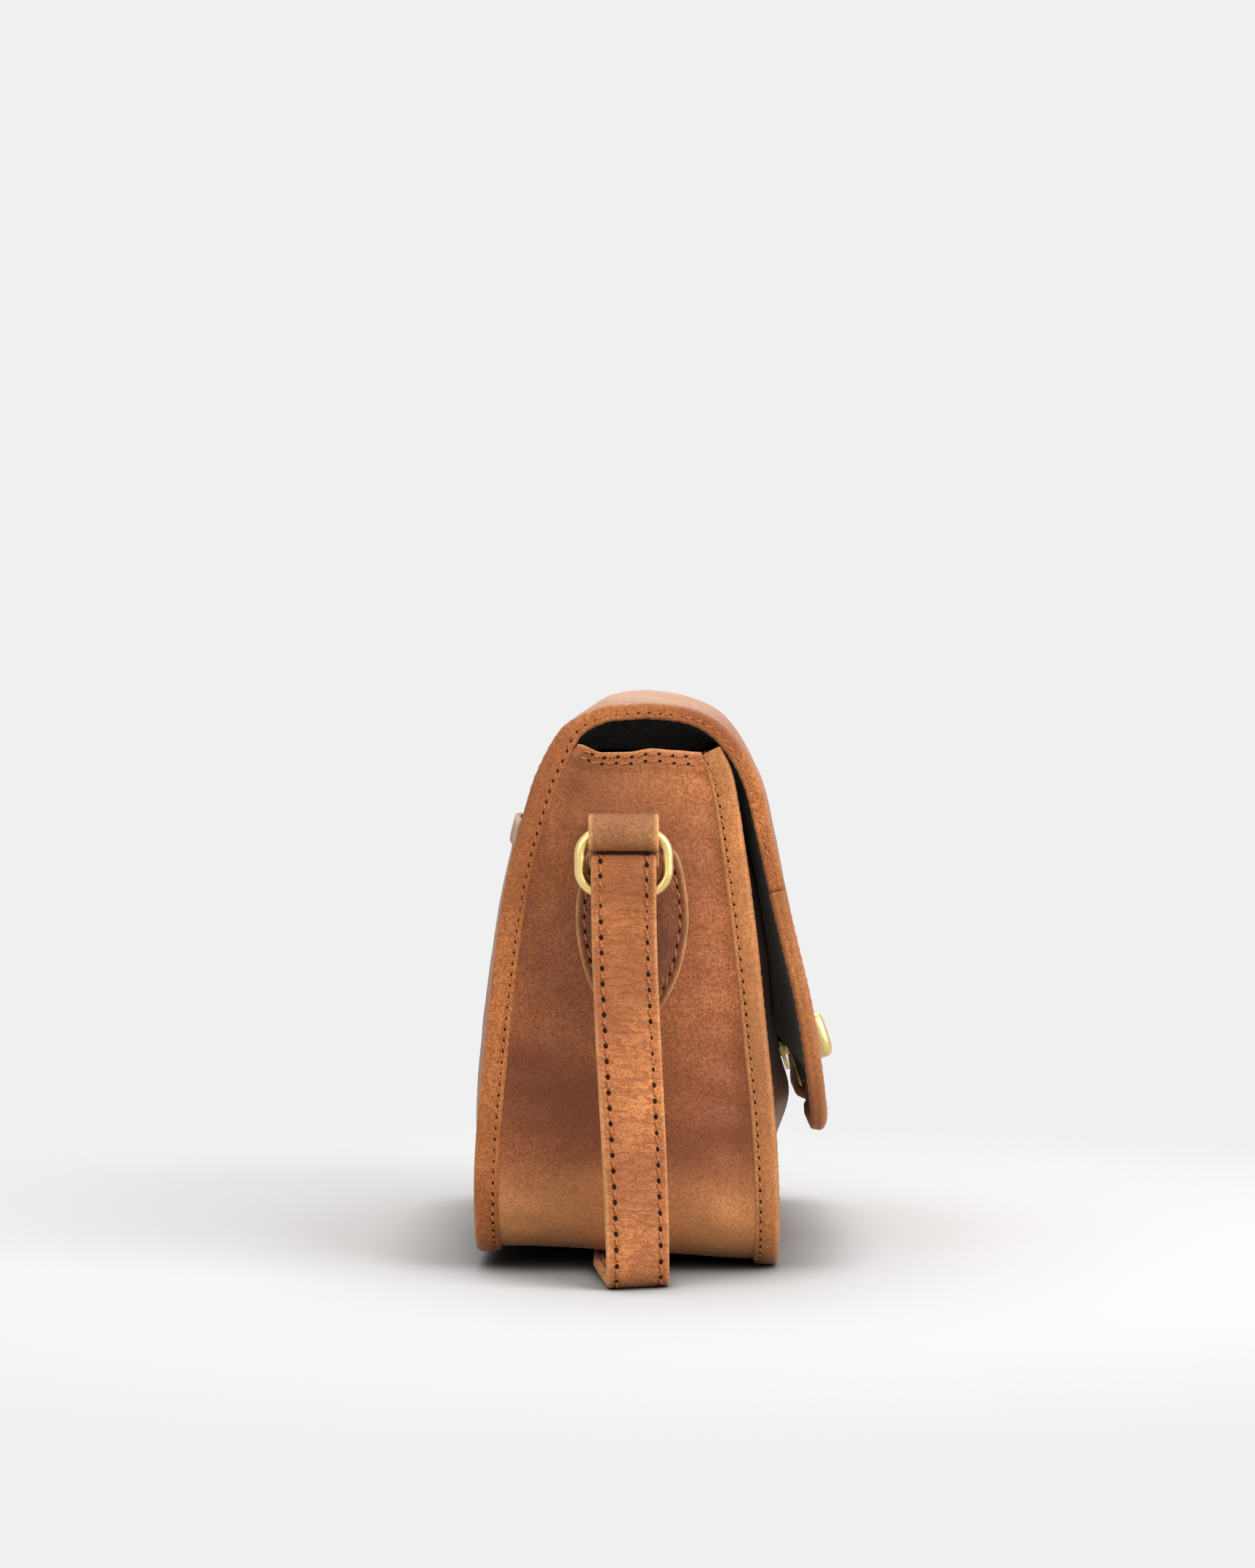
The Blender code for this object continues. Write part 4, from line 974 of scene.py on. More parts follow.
@dataclass(frozen=True)
class ClothFinish:
    """Plain woven lining cloth."""

    name: str
    body: Colour
    weave: float = 1900.0

    def material(self) -> Finish:
        """Lay out the nodes.

        Returns:
            The finished material.
        """
        nodes = Nodes(self.name)
        warp, weft = (nodes.add("ShaderNodeTexWave", {
            "Vector": nodes.coords, "Scale": self.weave / 6.28, "Distortion": 0.3},
            bands_direction=direction).outputs["Fac"] for direction in "XZ")
        cloth = nodes.math("MAXIMUM", warp, weft)
        dark = tuple(value * 0.5 for value in self.body)
        nodes.link(nodes.mix(cloth, dark, self.body), "Base Color")
        nodes.set({"Roughness": 0.92, "Specular IOR Level": 0.15})
        nodes.bump(cloth, 0.3, 0.0003)
        return nodes.material


@dataclass(frozen=True)
class PlainDark:
    """Painted shade of a needle hole: a dark disc with a little grain."""

    name: str
    body: Colour

    def material(self) -> Finish:
        """Lay out the nodes.

        Returns:
            The finished material.
        """
        nodes = Nodes(self.name)
        grain = nodes.cloud(900, 3)
        dark = tuple(value * 0.4 for value in self.body)
        nodes.link(nodes.mix(grain, self.body, dark), "Base Color")
        nodes.set({"Roughness": 0.85, "Specular IOR Level": 0.1})
        return nodes.material


class Finishes:
    """All the finishes of the bag, made once."""

    def __init__(self) -> None:
        """Make each material."""
        # The panel's pale worn tone also gives the painted sheen over the hide's top and sides.
        self.panel = LeatherFinish(
            "panel_leather", tone(124, 64, 27), tone(184, 112, 58), tone(212, 184, 150)).material()
        self.gusset = LeatherFinish(
            "gusset_leather", tone(114, 57, 25), tone(176, 102, 52), tone(212, 144, 88),
            seed=0.31).material()
        self.binding = LeatherFinish(
            "binding_leather", tone(130, 69, 27), tone(190, 114, 56), tone(232, 170, 108),
            mottle=16, seed=0.77).material()
        self.strap = LeatherFinish(
            "strap_leather", tone(152, 86, 44), tone(214, 137, 74), tone(234, 170, 106),
            mottle=18, crease=0.62, seed=1.3).material()
        # The tab's tone is kept dark for the patch, which lies in shade: painted shade, and partly
        # the leather's own tone.
        self.tab = LeatherFinish(
            "tab_leather", tone(100, 48, 19), tone(164, 96, 46), tone(232, 172, 112),
            mottle=20, seed=2.1).material()
        self.skin = LeatherFinish(
            "flap_skin", tone(10, 8, 7), tone(19, 15, 13), tone(34, 28, 24),
            roughness=0.75, seed=0.5).material()
        self.thread = ThreadFinish("tan_thread", tone(196, 118, 56), tone(126, 66, 26)).material()
        self.hole_shade = PlainDark("needle_hole_shade", tone(46, 22, 10)).material()
        self.cloth = ClothFinish("black_cloth", tone(11, 10, 9)).material()
        self.brass = BrassFinish("satin_brass", tone(232, 205, 140), tone(206, 172, 104)).material()
        self.steel = BrassFinish(
            "plated_steel", tone(190, 190, 192), tone(150, 150, 154)).material()

    @property
    def sewing(self) -> tuple[Finish, Finish]:
        """The thread and the painted shade of its needle holes."""
        return self.thread, self.hole_shade


# The bag's body

@dataclass
class Shell:
    """The soft walls: hide, flap skin, front, pocket, gusset and lining."""

    lines: BagLines
    finishes: Finishes
    edge_in: float = 0.003
    hem: float = 0.0095
    flap_outer: float = 0.0095
    flap_inner: float = 0.0066
    fold_start: Vector = Vector((0, 0.034, 0.185))
    fold_end: Vector = Vector((0, 0.010, 0.185))
    skin_in: float = 0.0045
    skin_tail: float = 0.026
    slack_height: float = 0.1824
    front_rise: float = 0.0022
    wall_waves: tuple[Triple, ...] = (
        (0.0009, 0.055, 0.0), (0.00035, 0.017, 0.0), (0.00012, 0.006, 0.0))
    gusset_waves: tuple[Triple, ...] = (
        (0.0010, 0.034, 5.0), (0.00045, 0.013, 6.0), (0.00014, 0.005, 7.0))
    top_wear_and_sheen: float = 0.50
    side_wear_and_sheen: float = 0.45
    pocket_hem_wear: float = 0.55
    flap_shade: float = 0.6
    hem_wear: float = 0.6
    foot_wear_and_highlight: float = 1.05
    arch_wear_and_highlight: float = 0.35
    middle_shade: float = 0.36
    pocket_thick: float = 0.0020
    gusset_thick: float = 0.0026
    cloth_thick: float = 0.0006
    row_steps: int = 120
    hem_row_steps: int = 60
    lining_floor: float = 0.0120
    lining_top: float = 0.1765
    lining_in: float = 0.0042
    lining_off: float = 0.0108
    lining_corner: float = 0.034
    lining_levels: int = 40

    def build(self) -> None:
        """Make every wall."""
        self.make_hide()
        self.make_flap_skin()
        self.make_front()
        self.make_pocket()
        self.make_gusset()
        self.make_lining()

    def swell(self, point: Vector, across: float, seed: float) -> float:
        """Soft unevenness of a wall, none at its sewn sides."""
        return (1 - abs(across) ** 6) * swells(point, self.wall_waves, seed)

    def half_at(self, distance: float, edge_in: float) -> float:
        """Half the width of a sheet that ends a little inside the bag's outline."""
        sizes = self.lines.sizes
        return self.lines.rounded_half(sizes.half - edge_in, sizes.corner - edge_in,
                                       distance - edge_in)

    def level_rows(self, line: SideLine, top: float, drops: Sequence[float], reach: float,
                   point_at: Callable[[float, float], Vector]) -> list[list[Spot]]:
        """Level rows of stitches under a wall's top edge.

        Args:
            line: the wall's side outline.
            top: the edge's distance along it.
            drops: how far below the edge each row runs.
            reach: how far to each side the rows go, as a share of the half width.
            point_at: gives the wall's point at (distance, across).

        Returns:
            The rows of points and normals.
        """
        return [[(point_at(top - drop, -reach + 2 * reach * step / self.row_steps),
                  line.outward_at(top - drop)) for step in range(self.row_steps + 1)]
                for drop in drops]

    def hide_place(self, distance: float, across: float, depth: float, lock_height: float,
                   edge_in: float) -> Vector:
        """A point of the hide or of the skin under it, seated at the lock.

        Args:
            distance: the way from the back's foot to the flap's tip.
            across: -1 to 1.
            depth: below the hide's outer face.
            lock_height: height above the lock's plane where it is clamped.
            edge_in: how far inside the bag's outline the sheet ends.

        Returns:
            The point.
        """
        lines = self.lines
        half = self.half_at(min(distance, lines.hide.length - distance), edge_in)
        point = lines.hide_point(distance, across, half, -depth)
        swell = self.swell(point, across, 3.0)
        if distance > lines.hinge:
            swell *= 1 - lines.lock_pull(point, lines.lock.seat_radius, lines.lock.seat_fade)
        point += lines.hide.outward_at(distance) * swell
        if distance > lines.hinge:
            point = lines.seat(point, lock_height, lines.lock.seat_radius, lines.lock.seat_fade)
        return point

    def open_slot(self, builder: Builder) -> None:
        """Cut the sheet away under the eyelet plates.

        Args:
            builder: the sheet.
        """
        lock, inverse = self.lines.lock, self.lines.lock_inverse
        gone = []
        for face in builder.faces:
            local = inverse @ face.calc_center_median()
            if (abs(local.x) < lock.slot_half_wide and abs(local.y + lock.eyelet_drop)
                    < lock.slot_half_tall and abs(local.z) < lock.slot_deep):
                gone.append(face)
        bmesh.ops.delete(builder, geom=gone, context="FACES")

    def make_hide(self) -> None:
        """The one hide that is the back and the flap, bent over the top edge."""
        length = self.lines.hide.length

        def place(u: float, v: float) -> Placed:
            """Lay a point of the hide, with its wear and painted sheen."""
            distance = self.edge_in + v * (length - 2 * self.edge_in)
            point = self.hide_place(distance, u, 0, self.flap_outer, self.edge_in)
            # Paler over the top and towards the sides below it: partly rubbing, partly painted
            # sheen where the leather is seen at a grazing angle.
            worn = self.top_wear_and_sheen * near(distance, self.lines.hinge + 0.03, 0.06) * (
                0.75 + 0.25 * ripple(point, 0.02))
            worn += self.side_wear_and_sheen * abs(u) ** 2 * ease((self.lines.hinge - distance) / 0.03)
            return point, max(min(worn, 1.0), 0.0)

        builder = grid(100, 176, place)
        self.open_slot(builder)
        look_out(builder, Vector((0, -1, 1)))
        piece = finish_piece("hide", builder, [self.finishes.panel], Slot.TAN)
        add_wall(piece, self.lines.sizes.leather)
        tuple(self.fold_start)
        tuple(self.fold_end)
        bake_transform(piece)
        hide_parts("back_panel", "flap")

    def make_flap_skin(self) -> None:
        """The inner skin of the flap, sewn down inside the back's top."""
        lines = self.lines
        start = lines.hinge - self.skin_tail
        depth = lines.sizes.leather + lines.sizes.ply_gap

        def place(u: float, v: float) -> Placed:
            """Lay a point of the skin, which shows no wear."""
            distance = start + v * (lines.hide.length - self.skin_in - start)
            point = self.hide_place(distance, u, depth, self.flap_inner, self.skin_in)
            return point + self.skin_slack(point, distance, u), 0.0

        builder = grid(90, 140, place)
        self.open_slot(builder)
        look_out(builder, Vector((0, -1, 1)))
        piece = finish_piece("flap_skin", builder, [self.finishes.skin], Slot.FLAP_SKIN)
        add_wall(piece, lines.sizes.flap_lining)
        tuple(self.fold_start)
        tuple(self.fold_end)
        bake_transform(piece)
        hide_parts("flap_lining")

    def skin_slack(self, point: Vector, distance: float, across: float) -> Vector:
        """How far the flap's loose inner skin hangs in towards the bag; across the gap to the front
        panel it is drawn in so that its near-black serves as painted shade there.

        Args:
            point: the skin's point without slack.
            distance: its way along the hide.
            across: -1 to 1.

        Returns:
            The way to add to the point.
        """
        lines = self.lines
        side = 1 - abs(across)
        free, ends = ease(side / 0.45), ease(side / 0.10)
        along = distance - lines.hinge
        over = ease((along + 0.010) / 0.014) * ease((0.067 - along) / 0.018)
        down = ease((along - 0.050) / 0.020) * ease((0.188 - along) / 0.018)
        face = lines.front.point(min(point.z, lines.front.length) + 0.0005).x
        swell = read_table(FRONT_FULLNESS, min(point.z / lines.front.length, 1.0))
        crown = swell * lines.sizes.front_crown * (1 - abs(across) ** CROWN_POWER)
        # Across the gap to the front panel the dark skin is drawn in: a dark sheet as painted
        # shade.
        gap = face - crown + lines.sizes.front_inset - 0.0019 - point.y
        middle = 1 - lines.lock_pull(point, lines.lock.seat_radius + 0.003, 0.012)
        wave = 1 + 0.06 * ripple(point, 0.030, 6.0)
        drop = max(point.z - self.slack_height, 0.0) * over * ends * wave
        return Vector((0, max(gap, 0.0) * down * free * middle, -drop))

    def make_front(self) -> None:
        """The front panel with its turned top edge."""
        lines, sizes = self.lines, self.lines.sizes

        def point_at(distance: float, across: float) -> Vector:
            """A point of the front leather."""
            point = lines.front_point(distance, across, self.half_at(distance, self.edge_in), 0)
            calm = 1 - lines.lock_pull(point, lines.lock.base_seat_radius, 0.02)
            rise = ease((distance - lines.front.length + 0.03) / 0.03) * (1 - across ** 4)
            point.z += self.front_rise * rise
            point += lines.front.outward_at(distance) * self.swell(point, across, 9.0) * calm
            return lines.seat(point, 0, lines.lock.base_seat_radius, lines.lock.base_seat_fade)

        def place(u: float, v: float) -> Placed:
            """Lay a point of the front, with painted shade under the flap, which also stands for
            leather less faded there.
            """
            distance = self.edge_in + v * (lines.front.length - self.edge_in)
            # Painted shade under the flap: darker where the flap covers the front.
            cover = ease((distance - 0.055) / 0.03)
            return point_at(distance, u), -self.flap_shade * cover

        builder = grid(100, 80, place)
        look_out(builder, Vector((0, -1, 0)))
        piece = finish_piece("front_wall", builder, [self.finishes.panel], Slot.TAN)
        add_wall(piece, sizes.leather, 0.0006)
        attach(piece, Body.BAG.value)
        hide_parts("front_panel")

        rows = self.level_rows(lines.front, lines.front.length, (0.0030, 0.0085), 0.93, point_at)
        seam = sew("front_top_seams", rows, Thread(), self.finishes.sewing)
        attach(seam, Body.BAG.value)

    def make_pocket(self) -> None:
        """The slip pocket on the back with its thick turned hem."""
        lines, sizes = self.lines, self.lines.sizes
        top = sizes.pocket_height - sizes.rear_lift

        def point_at(distance: float, across: float) -> Vector:
            """A point of the pocket leather."""
            hemmed = ease((distance - (top - sizes.pocket_hem)) / 0.0012)
            gape = 0.0006 * near(distance, top, 0.02) * (1 - across ** 2)
            proud = 0.0023 + 0.0015 * hemmed + gape
            point = lines.hide_point(distance, across, self.half_at(distance, self.edge_in), proud)
            return point + lines.hide.outward_at(distance) * self.swell(point, across, 3.0)

        def place(u: float, v: float) -> Placed:
            """Lay a point of the pocket, with its wear and, at the sides, painted sheen."""
            distance = self.edge_in + v * (top - self.edge_in)
            worn = self.pocket_hem_wear * near(distance, top, 0.003)
            # The sides are paler: partly rubbing, partly painted sheen where they are seen at a
            # grazing angle.
            return point_at(distance, u), worn + self.side_wear_and_sheen * abs(u) ** 3

        builder = grid(90, 150, place)
        look_out(builder, Vector((0, 1, 0)))
        piece = finish_piece("pocket_wall", builder, [self.finishes.panel], Slot.TAN)
        add_wall(piece, self.pocket_thick, 0.0007)
        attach(piece, Body.BAG.value)
        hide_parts("back_pocket", "back_pocket_hem")

        rows = self.level_rows(lines.hide, top, (0.0022, 0.0080), 0.94, point_at)
        seam = sew("pocket_seams", rows, Thread(), self.finishes.sewing)
        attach(seam, Body.BAG.value)

    def gusset_at(self, place: UPlace, v: float) -> Vector:
        """A point of the gusset's outer face with its hem, valleys and unevenness.

        Args:
            place: (x, way up the front outline, outward direction).
            v: 0 at the front binding, 1 at the back binding.

        Returns:
            The point.
        """
        x, height, out = place
        lines, sizes = self.lines, self.lines.sizes
        point = lines.gusset_point(place, v)
        side = 1 - max(-out.y, 0.0)
        top = lines.front.length
        hem = lines.gusset_point((x, top, out), v).z
        point.z += (read_table(HEM_HEIGHTS, v) - hem) * ease((height - top + 0.06) / 0.06) * side
        hemmed = ease((height - (top - self.hem)) / 0.0014)
        proud = 0.0009 * hemmed
        proud -= 0.0013 * (near(v, 0.07, 0.09) + near(v, 0.93, 0.09)) * side
        free = (4 * v * (1 - v)) ** 0.5
        uneven = swells(point, self.gusset_waves)
        pulls = 0.0005 * math.sin(height * 420 + 3 * ripple(point, 0.03, 2.0)) * (
            near(v, 0.12, 0.14) + near(v, 0.88, 0.14)) * side * (1 - hemmed)
        proud += free * uneven * (1 - 0.6 * hemmed) + pulls
        level = 1 - ease(height / sizes.corner)
        point.z += (sizes.binding_proud + 0.0010) * level
        return point + Vector((out.x * proud, 0, out.y * proud))

    def gusset_spot(self, place: UPlace, v: float) -> Spot:
        """A point just proud of the gusset's outer face, and the face's normal there.

        Args:
            place: as for gusset_at.
            v: as for gusset_at.

        Returns:
            The point and the normal.
        """
        x, height, out = place
        here = self.gusset_at(place, v)
        along = self.gusset_at(place, v + 0.01) - here
        down = self.gusset_at((x, height - 0.001, out), v) - here
        normal = along.cross(down).normalized()
        if normal.x * out.x < 0:
            normal = -normal
        return here + normal * 0.0003, normal

    def make_gusset(self) -> None:
        """The strip that makes both sides and the bottom, hemmed at its tops."""
        sizes, top = self.lines.sizes, self.lines.front.length
        path = u_path(sizes.half - sizes.binding_proud, top,
                      sizes.corner - sizes.binding_proud, 0.0016)
        count = len(path) - 1

        def place(u: float, v: float) -> Placed:
            """Lay a point of the gusset, with its wear, painted highlight and painted shade."""
            spot = path[round((u + 1) / 2 * count)]
            point, height = self.gusset_at(spot, v), spot[1]
            # Paler at the hem for wear; paler at the foot and towards the top for wear and for
            # painted highlight, where the lamps graze the top and the foot turns under into shade.
            worn = (self.hem_wear * near(height, top, 0.0022)
                    + self.foot_wear_and_highlight * near(height, 0.0, 0.052))
            worn += (self.arch_wear_and_highlight * ease((height - 0.10) / 0.07)
                     * (0.6 + 0.4 * ripple(point, 0.03, 1.5)))
            # Darker in the middle of the gusset: painted shade.
            shade = math.hypot((point.y - 0.030) / 0.030, (height - 0.085) / 0.055)
            worn -= self.middle_shade * ease(1.3 - shade)
            return point, max(min(worn, 1.0), -1.0)

        builder = grid(count, 44, place)
        look_out_from(builder, Vector((0, 0, 0.12)))
        piece = finish_piece("gusset_wall", builder, [self.finishes.gusset], Slot.TAN)
        add_wall(piece, self.gusset_thick, 0.0010)
        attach(piece, Body.BAG.value)
        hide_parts("gusset")

        rows = []
        for side in (-1, 1):
            out = Vector((side, 0))
            x = side * (sizes.half - sizes.binding_proud)
            for drop in (0.0025, 0.0058):
                rows.append([
                    self.gusset_spot((x, top - drop, out), 0.05 + 0.90 * step / self.hem_row_steps)
                    for step in range(self.hem_row_steps + 1)])
        seam = sew("gusset_hem_seams", rows, HEM_THREAD, self.finishes.sewing)
        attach(seam, Body.BAG.value)

    def make_lining(self) -> None:
        """The black drop-in lining: an open tub of cloth."""
        lines, sizes = self.lines, self.lines.sizes
        floor, top = self.lining_floor, self.lining_top
        half = sizes.half - self.lining_in
        stations = []
        spans = []
        for level in range(self.lining_levels + 1):
            height = floor + (top - floor) * (level / self.lining_levels) ** 1.3
            front = lines.front.point(height).x + self.lining_off
            back = lines.hide.point(height - sizes.rear_lift).x - self.lining_off
            width = lines.rounded_half(half, self.lining_corner, height - floor + 0.0012)
            stations.append((Vector((0, (front + back) / 2, height)), X_AXIS, Y_AXIS))
            spans.append((width, (back - front) / 2))

        def section(index: int, turn: float) -> Triple:
            """The tub's section at a level."""
            width, deep = spans[index]
            a, b = oval(turn, width, deep, 9.0)
            point = Vector((a, b, stations[index][0].z))
            slack = 0.0006 * ripple(point, 0.022, 4.0) * min(index / 6, 1.0)
            return a * (1 - slack / width), b - math.copysign(abs(slack), b), 0.0

        builder = tube(stations, section, 96)
        lids = [face for face in builder.faces
                if len(face.verts) > 8 and face.calc_center_median().z > (floor + top) / 2]
        bmesh.ops.delete(builder, geom=lids, context="FACES_ONLY")
        piece = finish_piece("lining_tub", builder, [self.finishes.cloth], Slot.LINING)
        add_wall(piece, self.cloth_thick)
        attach(piece, Body.BAG.value)
        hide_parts("lining")


def u_path(half: float, top: float, radius: float, step: float) -> list[UPlace]:
    """A U: down the left side, round the foot and up the right side.

    Args:
        half: half the width.
        top: how far up the sides reach.
        radius: of the two lower corners.
        step: the way between two places.

    Returns:
        (x, distance from the foot, outward direction) at each place.
    """
    left = []
    count = max(int((top - radius) / step), 2)
    for index in range(count):
        left.append((-half, top + (radius - top) * index / count, Vector((-1, 0))))
    turns = max(int(radius * math.pi / 2 / step), 6)
    for index in range(turns + 1):
        angle = math.pi + math.pi / 2 * index / turns
        out = Vector((math.cos(angle), math.sin(angle)))
        left.append((-half + radius + out.x * radius, radius + out.y * radius, out))
    places = list(left)
    flat = max(int(2 * (half - radius) / step), 4)
    for index in range(1, flat):
        places.append(((-half + radius) * (1 - 2 * index / flat), 0.0, Vector((0, -1))))
    for x, distance, out in reversed(left):
        places.append((-x, distance, Vector((-out.x, out.y))))
    return places


class SeamFace(Enum):
    """The faces of a strip that can carry a row of stitches."""

    SIDE = "side"
    OUTER = "outer"
    INNER = "inner"


@dataclass(frozen=True)
class Strip:
    """How one rolled strip runs, with its width and thickness at a distance."""

    name: str
    line: SideLine
    path: Sequence[UPlace]
    sizes_at: Callable[[float], tuple[float, float]]
    faces: Sequence[SeamFace]
    rub: float = 0.0
    on_flap: bool = False

    def way(self, height: float) -> float:
        """The distance along the outline at a way up the strip's U."""
        return self.line.length - height if self.on_flap else height


@dataclass
class Bindings:
    """The rolled strips round the front, the back and the flap, with their seams."""

    lines: BagLines
    finishes: Finishes
    step: float = 0.0013
    sides: int = 44
    pitch: float = 0.0038
    seam_in: float = 0.0021
    power: float = 3.4
    tip_power: float = 2.5
    tip_drop: float = 0.0013
    outer_sunk: float = 0.0003
    inner_sunk: float = 0.0001
    joint_gap: float = 0.0003

    def build(self) -> None:
        """Make the three strips."""
        self.make_front()
        self.make_long()
        self.make_flap_strip()

    def stations(self, strip: Strip) -> list[Station]:
        """Centres and directions of a strip.

        Args:
            strip: how it runs.

        Returns:
            Centre, outward normal and edge direction at each place.
        """
        line, lock = strip.line, self.lines.lock
        turn = -line.outward if strip.on_flap else line.outward
        made = []
        for x, height, out in strip.path:
            distance = strip.way(height)
            point, along = line.point(distance), line.outward_at(distance)
            run = Vector((-along.z, along.y)) * turn
            edge = Vector((out.x, run.x * out.y, run.y * out.y)).normalized()
            width, thick = strip.sizes_at(distance)
            centre = Vector((x, point.x, point.y)) - along * width / 2 - edge * thick / 2
            if strip.on_flap:
                centre += edge * self.tip_drop * (1 - abs(edge.x))
                pull = self.lines.lock_pull(centre, lock.seat_radius, lock.seat_fade)
                centre = self.lines.seat(centre, lock.strip_height, lock.seat_radius,
                                         lock.seat_fade)
                along = along.lerp(lock.axis, pull).normalized()
                edge = (edge - along * edge.dot(along)).normalized()
            made.append((centre, along, edge))
        return made

    def make_strip(self, strip: Strip) -> tuple[Piece, Piece]:
        """Make a strip and its seams.

        Args:
            strip: how it runs.

        Returns:
            The strip and its seams.
        """
        stations = self.stations(strip)
        marks = way_along([centre for centre, _, _ in stations])
        power = self.tip_power if strip.on_flap else self.power
        spans = [strip.sizes_at(strip.way(height)) for _, height, _ in strip.path]

        def shape(index: int, turn: float) -> Triple:
            """The strip's section at a station, drawn in at each stitch."""
            width, thick = spans[index]
            a, b = oval(turn, width / 2, thick / 2, power)
            mark = marks[index]
            pucker = 0.5 - 0.5 * math.cos(2 * math.pi * mark / self.pitch)
            centre = stations[index][0]
            inner = 1 - ease((a + width / 2) / (width * 0.55))
            if b > 0:
                b -= 0.00042 * near(a, -width / 2 + self.seam_in, 0.0012) * (0.45 + 0.55 * pucker)
                b += 0.00022 * inner * pucker
            if a > 0:
                a -= 0.00036 * near(b, -thick / 2 + self.seam_in, 0.0012) * (0.45 + 0.55 * pucker)
            a -= 0.00020 * (1 - pucker) * ease(-a / width * 2)
            uneven = 1 + 0.030 * ripple(centre, 0.016, 1.0) + 0.016 * ripple(centre, 0.005, 2.0)
            worn = 0.55 * ease((abs(a) / (width / 2) + abs(b) / (thick / 2) - 1.45) / 0.4)
            worn *= 0.55 + 0.45 * ripple(centre, 0.012, 8.0)
            return a * uneven, b * uneven, max(worn, 0.0) + strip.rub

        builder = tube(stations, shape, self.sides)
        piece = finish_piece(strip.name, builder, [self.finishes.binding], Slot.TAN)
        rows = []
        for face in strip.faces:
            row = []
            for (centre, along, edge), (width, thick) in zip(stations, spans):
                if face is SeamFace.SIDE:
                    spot = centre + along * (self.seam_in - width / 2)
                    row.append((spot + edge * (thick / 2 - self.outer_sunk), edge))
                    continue
                spot = centre + edge * (self.seam_in - thick / 2)
                if face is SeamFace.OUTER:
                    row.append((spot + along * (width / 2 - self.outer_sunk), along))
                else:
                    row.append((spot - along * (width / 2 - self.inner_sunk), -along))
            rows.append(row)
        return piece, sew(strip.name + "_seams", rows, Thread(pitch=self.pitch),
                          self.finishes.sewing)

    def make_front(self) -> None:
        """The strip round the front panel."""
        sizes = self.lines.sizes
        path = u_path(sizes.half, self.lines.front.length, sizes.corner, self.step)
        strip = Strip("front_edge", self.lines.front, path,
                      lambda distance: (sizes.binding_width, sizes.binding_thickness),
                      (SeamFace.SIDE, SeamFace.OUTER), rub=0.28)
        for piece in self.make_strip(strip):
            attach(piece, Body.BAG.value)
            if piece.name == "front_edge":
                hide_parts("front_binding")

    def make_long(self) -> None:
        """The strip that runs round the back and on over the top along the flap."""
        lines, sizes = self.lines, self.lines.sizes
        top = lines.hinge + lines.flap_length * sizes.joint_share

        def sizes_at(distance: float) -> tuple[float, float]:
            """The strip's width and thickness, which narrow over the hinge."""
            share = ease((distance - lines.hinge + 0.012) / 0.024)
            width, thick = sizes.binding_width, sizes.binding_thickness
            return (width + (sizes.flap_binding_thickness - width) * share,
                    thick + (sizes.flap_binding_width - thick) * share)

        path = u_path(sizes.half, top, sizes.corner, self.step)
        strip, seams = self.make_strip(Strip("back_edge", lines.hide, path, sizes_at,
                                             (SeamFace.SIDE, SeamFace.OUTER)))
        for piece in (strip, seams):
            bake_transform(piece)
        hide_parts("back_binding", "flap_binding_left", "flap_binding_right")

    def make_flap_strip(self) -> None:
        """The strip round the flap's front, from butt seam to butt seam."""
        lines, sizes = self.lines, self.lines.sizes
        top = lines.flap_length * (1 - sizes.joint_share) - self.joint_gap
        path = u_path(sizes.half, top, sizes.corner, self.step)
        strip = Strip("flap_edge", lines.hide, path,
                      lambda distance: (sizes.flap_binding_thickness, sizes.flap_binding_width),
                      (SeamFace.OUTER, SeamFace.INNER), rub=0.22, on_flap=True)
        for piece in self.make_strip(strip):
            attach(piece, Body.FLAP.value)
            if piece.name == "flap_edge":
                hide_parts("flap_binding_front")


# Straps, rings and buckle

PathPoint = tuple[float, float, float, float]

RING_PLANE = 0.13955
RING_SHIFT = 0.0008
UNSEWN = -0.02
QUARTERS = ((1, 1), (-1, 1), (-1, -1), (1, -1))


def arc(centre_out: float, centre_z: float, radius: float, start: float, end: float,
        steps: int) -> list[tuple[float, float]]:
    """Points (out, z) on an arc, angles in degrees from the outward direction.

    Args:
        centre_out: the centre's way outward.
        centre_z: the centre's height.
        radius: of the arc.
        start: where it starts.
        end: where it ends.
        steps: how many pieces it has.

    Returns:
        The points, both ends included.
    """
    return [
        (centre_out + radius * math.cos(math.radians(start + (end - start) * step / steps)),
         centre_z + radius * math.sin(math.radians(start + (end - start) * step / steps)))
        for step in range(steps + 1)
    ]


def rounded_loop(centre: tuple[float, float], half: tuple[float, float], corner: float,
                 steps: int, places: int) -> list[Vector]:
    """The points of a rounded rectangle.

    Args:
        centre: its middle.
        half: half its two sides.
        corner: the radius of its corners.
        steps: how many pieces a corner is cut into.
        places: how many of a corner's points are kept, from its start.

    Returns:
        The points, corner by corner.
    """
    points = []
    for number, (sign_a, sign_b) in enumerate(QUARTERS):
        for step in range(places):
            angle = math.pi / 2 * (number + step / steps)
            points.append(Vector((
                centre[0] + sign_a * (half[0] - corner) + corner * math.cos(angle),
                centre[1] + sign_b * (half[1] - corner) + corner * math.sin(angle))))
    return points


def round_trip(points: Sequence[Vector]) -> list[tuple[Vector, Vector]]:
    """The points of a closed loop, the first one again last, with the loop's direction."""
    count = len(points)
    return [(points[index % count],
             (points[(index + 1) % count] - points[(index - 1) % count]).normalized())
            for index in range(count + 1)]


